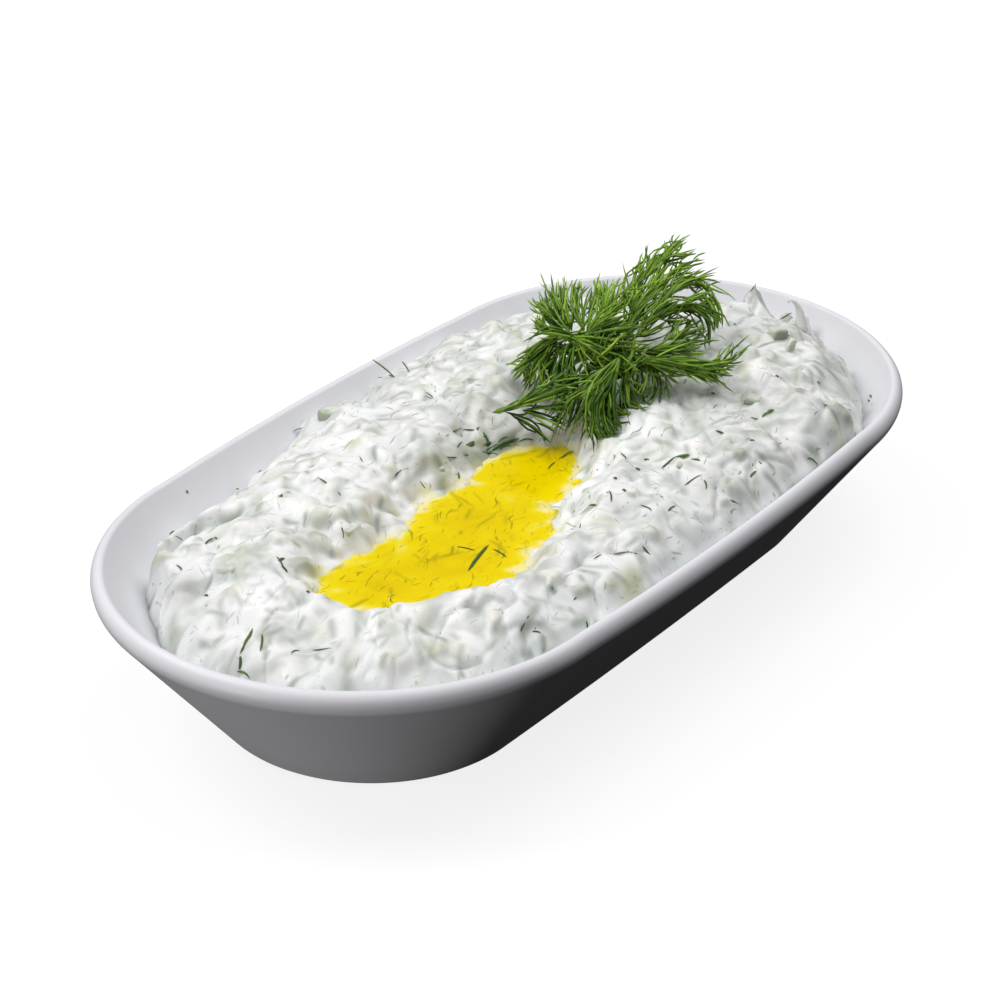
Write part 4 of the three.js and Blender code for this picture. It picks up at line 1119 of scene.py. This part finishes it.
# The sprig's stem and its bundles of threads, each as the points that it runs through, its number of
# threads, how far they fan out and the radius of the stem in its middle. A point is a pixel of the
# photograph and a height in millimetres. It is raised where it would lie inside the food.
STEM = [(492, 413, 41), (521, 404, 43.5), (557, 389, 45.5), (596, 367, 48.5), (622, 346, 51),
        (636, 324, 54), (648, 295, 57.5), (675, 248, 61)]
BUNDLES = [
    # along the stem
    (STEM[:5], 15, 3.0, 0.6), (STEM[4:], 22, 4.2, 0.6),
    ([(500, 412, 41.5), (522, 408, 43), (541, 384, 47)], 3, 1.6, 0),
    ([(508, 413, 41), (533, 424, 38), (550, 446, 35)], 3, 1.8, 0),
    ([(521, 410, 42), (548, 414, 41), (570, 420, 40)], 5, 2.4, 0),
    # the fan up and to the left
    ([(571, 336, 54), (555, 310, 58), (540, 272, 62)], 8, 2.4, 0.35),
    ([(568, 330, 54), (552, 312, 57), (538, 291, 60)], 6, 2.2, 0.3),
    ([(566, 335, 53), (545, 317, 56), (532, 297, 59)], 7, 2.6, 0.3),
    ([(572, 332, 54), (565, 306, 58), (563, 286, 60)], 7, 2.6, 0.3),
    ([(584, 332, 55), (582, 306, 58), (581, 284, 61)], 9, 3.4, 0.3),
    ([(587, 330, 55), (594, 300, 59), (598, 277, 61)], 8, 3.0, 0.3),
    ([(594, 328, 56), (604, 300, 59), (608, 279, 61)], 8, 3.4, 0.3),
    ([(600, 326, 56), (614, 302, 60), (620, 284, 61)], 8, 3.4, 0.3),
    ([(562, 337, 53), (542, 328, 55), (537, 314, 57)], 6, 2.4, 0.3),
    ([(563, 337, 53), (546, 331, 54), (532, 328, 55)], 5, 2.2, 0.3),
    # the arc to the left and what hangs from it
    ([(600, 345, 54), (571, 336, 54), (552, 336, 54), (530, 348, 51), (516, 357, 48.5)], 10, 2.2, 0.45),
    ([(571, 338, 54), (548, 340, 53), (523, 361, 47), (510, 373, 44)], 7, 2.0, 0.35),
    ([(556, 338, 53), (534, 362, 47), (524, 390, 41)], 8, 2.8, 0.3),
    ([(558, 340, 52), (540, 362, 47), (541, 386, 42)], 8, 3.0, 0.3),
    ([(562, 341, 52), (549, 368, 46), (545, 400, 41)], 9, 3.0, 0.3),
    ([(568, 343, 53), (560, 372, 47), (555, 406, 42)], 9, 3.2, 0.3),
    ([(574, 345, 53), (572, 374, 48), (566, 410, 43)], 9, 3.4, 0.3),
    # across the middle
    ([(571, 337, 55), (593, 347, 55), (619, 355, 54)], 8, 3.4, 0.35),
    ([(584, 335, 57), (614, 329, 58.5), (645, 325, 58)], 8, 3.0, 0.35),
    ([(584, 335, 57), (606, 323, 59), (632, 312, 60)], 8, 3.0, 0.35),
    ([(596, 350, 53), (616, 340, 56), (640, 335, 56)], 9, 4.0, 0.3),
    ([(590, 362, 51), (606, 352, 54), (622, 330, 57)], 9, 4.0, 0.3),
    # hanging from the middle towards the oil
    ([(619, 357, 54), (600, 376, 50), (588, 400, 46), (586, 434, 40)], 13, 3.2, 0.4),
    ([(619, 357, 54), (612, 380, 50), (598, 402, 46), (600, 428, 41), (613, 446, 37)], 10, 2.4, 0.4),
    ([(612, 366, 52), (598, 402, 46), (594, 428, 41), (604, 451, 36.5)], 8, 2.4, 0.3),
    ([(620, 357, 54), (615, 386, 49), (616, 416, 43), (618, 441, 38)], 12, 3.0, 0.35),
    ([(624, 358, 53), (627, 386, 48), (631, 407, 44), (641, 420, 41)], 9, 2.8, 0.35),
    ([(619, 360, 53), (593, 380, 48), (573, 402, 43), (556, 428, 38)], 9, 3.0, 0.35),
    ([(616, 364, 52), (603, 384, 48), (581, 408, 43), (566, 447, 36)], 10, 3.0, 0.35),
    ([(610, 368, 51), (582, 388, 46), (564, 408, 42), (550, 444, 35)], 8, 2.8, 0.3),
    ([(606, 370, 51), (602, 396, 46), (606, 420, 41), (610, 436, 38)], 9, 4.0, 0.3),
    # in the shade on the right
    ([(632, 350, 53), (642, 372, 49), (640, 402, 44)], 9, 3.2, 0.35),
    ([(640, 352, 53), (659, 380, 48), (647, 414, 42)], 4, 1.6, 0.25),
    ([(636, 350, 53), (656, 368, 50), (677, 384, 45)], 7, 2.4, 0.3),
    # the plume at the top right
    ([(584, 334, 56), (617, 309, 58.5), (638, 280, 60), (660, 257, 61), (687, 238, 61)], 30, 1.9, 0.5),
    ([(636, 288, 59.5), (660, 260, 60.5), (688, 241, 60.5)], 15, 1.0, 0.3),
    ([(625, 335, 56), (641, 306, 58), (657, 288, 59), (680, 270, 59), (706, 262, 58.5)], 22, 2.0, 0.45),
    ([(641, 320, 55), (666, 293, 57), (684, 278, 57.5), (706, 270, 57.5)], 15, 1.6, 0.4),
    ([(660, 262, 61), (676, 259, 61), (697, 253, 61)], 3, 0.8, 0.25),
    ([(622, 340, 55), (640, 307, 58), (652, 285, 59)], 16, 3.0, 0.3),
    ([(636, 338, 54), (655, 312, 57), (676, 296, 57)], 15, 3.0, 0.3),
    # the arcs that droop on the far right
    ([(640, 328, 55), (667, 309, 57.5), (694, 308, 56), (708, 322, 52), (709, 346, 46)], 12, 1.3, 0.85),
    ([(655, 308, 57), (682, 286, 59), (700, 285, 58), (711, 296, 56), (721, 312, 52.5)], 8, 1.6, 0.45),
    ([(660, 320, 56), (682, 306, 57), (702, 298, 56.5), (718, 301, 55)], 7, 2.0, 0.35),
    ([(682, 299, 57), (704, 298, 56), (715, 315, 53), (718, 330, 49.5)], 7, 1.6, 0.4),
    ([(662, 342, 52), (684, 330, 53), (702, 319, 53)], 5, 2.2, 0.3),
    ([(664, 348, 51), (690, 341, 51), (708, 330, 50.5)], 5, 2.0, 0.3),
    # the frond to the right
    ([(629, 356, 53), (650, 363, 52), (682, 370, 50), (708, 377, 48.5), (727, 385, 46.5)], 13, 1.5, 0.5),
    ([(640, 358, 53), (682, 366, 51), (714, 374, 50), (734, 376, 48.5)], 8, 1.3, 0.4),
    ([(655, 362, 52), (684, 363, 51.5), (710, 368, 50), (726, 370, 49.5)], 6, 1.5, 0.3),
    ([(645, 354, 53), (670, 352, 53), (688, 350, 52.5), (702, 346, 52.5)], 8, 2.0, 0.3),
    ([(654, 360, 53), (687, 364, 51.5), (712, 364, 50.5), (721, 349, 52)], 4, 0.8, 0.35),
    ([(696, 365, 51), (718, 365, 50.5), (733, 342, 52)], 3, 0.6, 0.3),
    ([(690, 366, 51), (718, 365, 50.5), (736, 359, 50.5), (749, 345, 51)], 3, 0.6, 0.3),
    ([(640, 352, 54), (666, 346, 54), (686, 328, 55)], 8, 2.8, 0.3),
    # crossing threads at the forks of the stem
    ([(552, 328, 53), (580, 346, 53), (606, 362, 51)], 13, 4.6, 0.3),
    ([(556, 352, 50), (585, 346, 53), (612, 334, 56)], 13, 4.6, 0.3),
    ([(572, 366, 48), (590, 346, 53), (600, 322, 57)], 13, 4.6, 0.3),
    ([(596, 374, 48), (620, 358, 52), (642, 344, 54)], 13, 4.6, 0.3),
    ([(610, 382, 47), (626, 360, 52), (634, 338, 55)], 13, 4.6, 0.3),
    ([(600, 348, 52), (626, 364, 51), (652, 374, 48)], 13, 4.6, 0.3),
]
AXIS_STEPS = 19
THREAD_RADIUS = 0.26
THREAD_STEPS = np.linspace(0, 1, 8)
THREAD_SIDES = 4
FORK_STEPS = np.linspace(0, 1, 5)


def above_food(points, radius):
    """The points, raised where they would lie inside the food."""
    floor = resting_height(points[:, 0], points[:, 1]) + radius
    return np.column_stack([points[:, :2], np.maximum(points[:, 2], floor)])


def across(draw, ahead):
    """A direction at right angles to another, drawn at random."""
    guess = np.array([draw(-1, 1), draw(-1, 1), draw(-0.8, 0.8)])
    return unit(guess - ahead * (guess @ ahead))


def add_thread(pile, points, radius, tone):
    steps = np.linspace(0, 1, len(points))
    # Painted light: each thread turns a little brighter towards its outer end.
    pile.add_tube(above_food(points, radius), radius * (1 - 0.4 * steps ** 3), THREAD_SIDES,
                  (tone, tone + 0.15))


def add_fork(pile, draw, thread, length, radius, tone):
    """A short thread that leaves another one and bends back to run beside it."""
    at = int(draw(1.2, 5.9))
    ahead = unit(thread[at + 1] - thread[at])
    out = unit(ahead + draw(0.45, 1.0) * across(draw, ahead))
    size = length * (1 - at / 8) * draw(0.5, 1.0)
    points = thread[at] + np.outer(FORK_STEPS, out * size)
    points += np.outer(FORK_STEPS ** 2, (ahead - out) * size * draw(0.1, 0.7))
    add_thread(pile, points, radius, tone)


def add_bundle(pile, draw, path, count, spread, radius):
    """Threads along a path that fan out from it, each with forks, round a stem of their own."""
    axis = curve_through([seen_at(*place) for place in path], AXIS_STEPS)
    places = np.linspace(0, 1, AXIS_STEPS)
    total = np.linalg.norm(np.diff(axis, axis=0), axis=1).sum()
    shade = draw(-0.08, 0.12)
    sway = across(draw, unit(axis[-1] - axis[0]))
    if radius:
        # Painted light: the stem turns brighter from the sprig's inner parts towards its outer end.
        pile.add_tube(above_food(axis, radius), radius * (1 - 0.55 * places), 6, (0.3, 0.5))
    for _ in range(math.ceil(0.85 * count)):
        reach = min(draw(9, 19), 0.97 * total) / total
        along = draw(0, 1 - reach) + reach * THREAD_STEPS
        thread = np.column_stack([np.interp(along, places, axis[:, k]) for k in range(3)])
        ahead = unit(thread[-1] - thread[0])
        side = across(draw, ahead)
        bow = unit(0.8 * sway + across(draw, ahead))
        length = reach * total
        thread += np.outer(THREAD_STEPS ** 1.3, side * spread * draw(0.3, 1.5))
        thread += np.outer(np.sin(np.pi * THREAD_STEPS), bow * length * draw(0.03, 0.17))
        # Painted light: threads that lie higher in the sprig get a brighter tone, as if better lit; the
        # rest of the tone is drawn at random.
        high = np.clip((thread[:, 2].mean() - 44) / 18, 0, 1)
        tone = shade + 0.36 * high + draw(-0.24, 0.2) + (0.36 if draw() < 0.3 else 0.0)
        add_thread(pile, thread, THREAD_RADIUS * draw(0.85, 1.2), tone)
        for _ in range(int(draw(0.7, 3.5))):
            add_fork(pile, draw, thread, length, THREAD_RADIUS * draw(0.75, 1.0), tone + draw(-0.1, 0.15))


def make_sprig():
    pile = Pile()
    draw = make_random(60013)
    for bundle in BUNDLES:
        add_bundle(pile, draw, *bundle)
    piece = pile.make("dill_threads", dill("sprig_dill", (0.010, 0.062, 0.002), (0.38, 0.64, 0.06)))
    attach(piece, "root")
    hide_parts("dill_sprig")


# ------------------------------------------------------------------------------ stage and light

FLOOR_HALF_SIZE = 3000
# Each light is its place in metres, its diameter and its power in watts.
LIGHTS = {
    "key": ((-0.42, 0.74, 1.08), 0.8, 8.7),
    "top": ((0.5, -0.25, 1.2), 1.1, 7.4),
    "left_end": ((-1.1, 0.2, 0.05), 0.14, 3.9),
}
LIGHT_AIM = (0, 0, 0.03)
DARK_BELOW = (0.34, (0.012, 0.012, 0.012, 1))
LIGHT_ABOVE = (0.85, (0.57, 0.57, 0.605, 1))


def add_light(name, place, diameter, power):
    data = bpy.data.lights.new(name, "AREA")
    data.shape = "DISK"
    data.size = diameter
    data.energy = power
    light = bpy.data.objects.new(name, data)
    light.location = place
    light.rotation_mode = "QUATERNION"
    light.rotation_quaternion = turned_to(place, LIGHT_AIM)
    bpy.context.scene.collection.objects.link(light)


def make_floor():
    """A pale floor, near white, that throws no light back up at the dish."""
    shader = Shader("pale_floor", Roughness=0.9, Emission_Color=(1, 1, 1, 1), Emission_Strength=0.84)
    shades = [(0.3, (0.20, 0.20, 0.20)), (0.7, (0.22, 0.22, 0.22))]
    shader.drive("Base Color", shader.ramp(shader.noise(300, 2), shades))
    shader.material.cycles.emission_sampling = "NONE"
    corners = [(a * FLOOR_HALF_SIZE, b * FLOOR_HALF_SIZE, 0)
               for a, b in ((-1, -1), (1, -1), (1, 1), (-1, 1))]
    floor = new_mesh("floor", corners, [(0, 1, 2, 3)], shader.material, smooth=False)
    floor.visible_diffuse = False
    floor.visible_glossy = False
    floor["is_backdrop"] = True


def make_world():
    """A dim room that is darker below."""
    world = bpy.data.worlds.new("studio")
    bpy.context.scene.world = world
    world.use_nodes = True
    tree = world.node_tree
    direction = tree.nodes.new("ShaderNodeTexCoord").outputs["Generated"]
    height = tree.nodes.new("ShaderNodeSeparateXYZ")
    shade = tree.nodes.new("ShaderNodeValToRGB")
    low, high = shade.color_ramp.elements
    low.position, low.color = DARK_BELOW
    high.position, high.color = LIGHT_ABOVE
    tree.links.new(direction, height.inputs[0])
    tree.links.new(height.outputs["Z"], shade.inputs["Fac"])
    tree.links.new(shade.outputs["Color"], tree.nodes["Background"].inputs["Color"])


def make_studio():
    make_floor()
    make_world()
    for name, light in LIGHTS.items():
        add_light(name, *light)
    view = bpy.context.scene.view_settings
    view.view_transform = "Standard"
    view.look = "None"


# ------------------------------------------------------------------------------ the whole scene

make_camera()
make_dish()
white = yoghurt()
make_heap(white)
make_tip(white)
make_oil()
make_chopped_dill()
make_cucumber()
make_sprig()
make_studio()

boxes = {"cad": cad_box, "visual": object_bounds()}
{name: [list(corner) for corner in box] for name, box in boxes.items()}
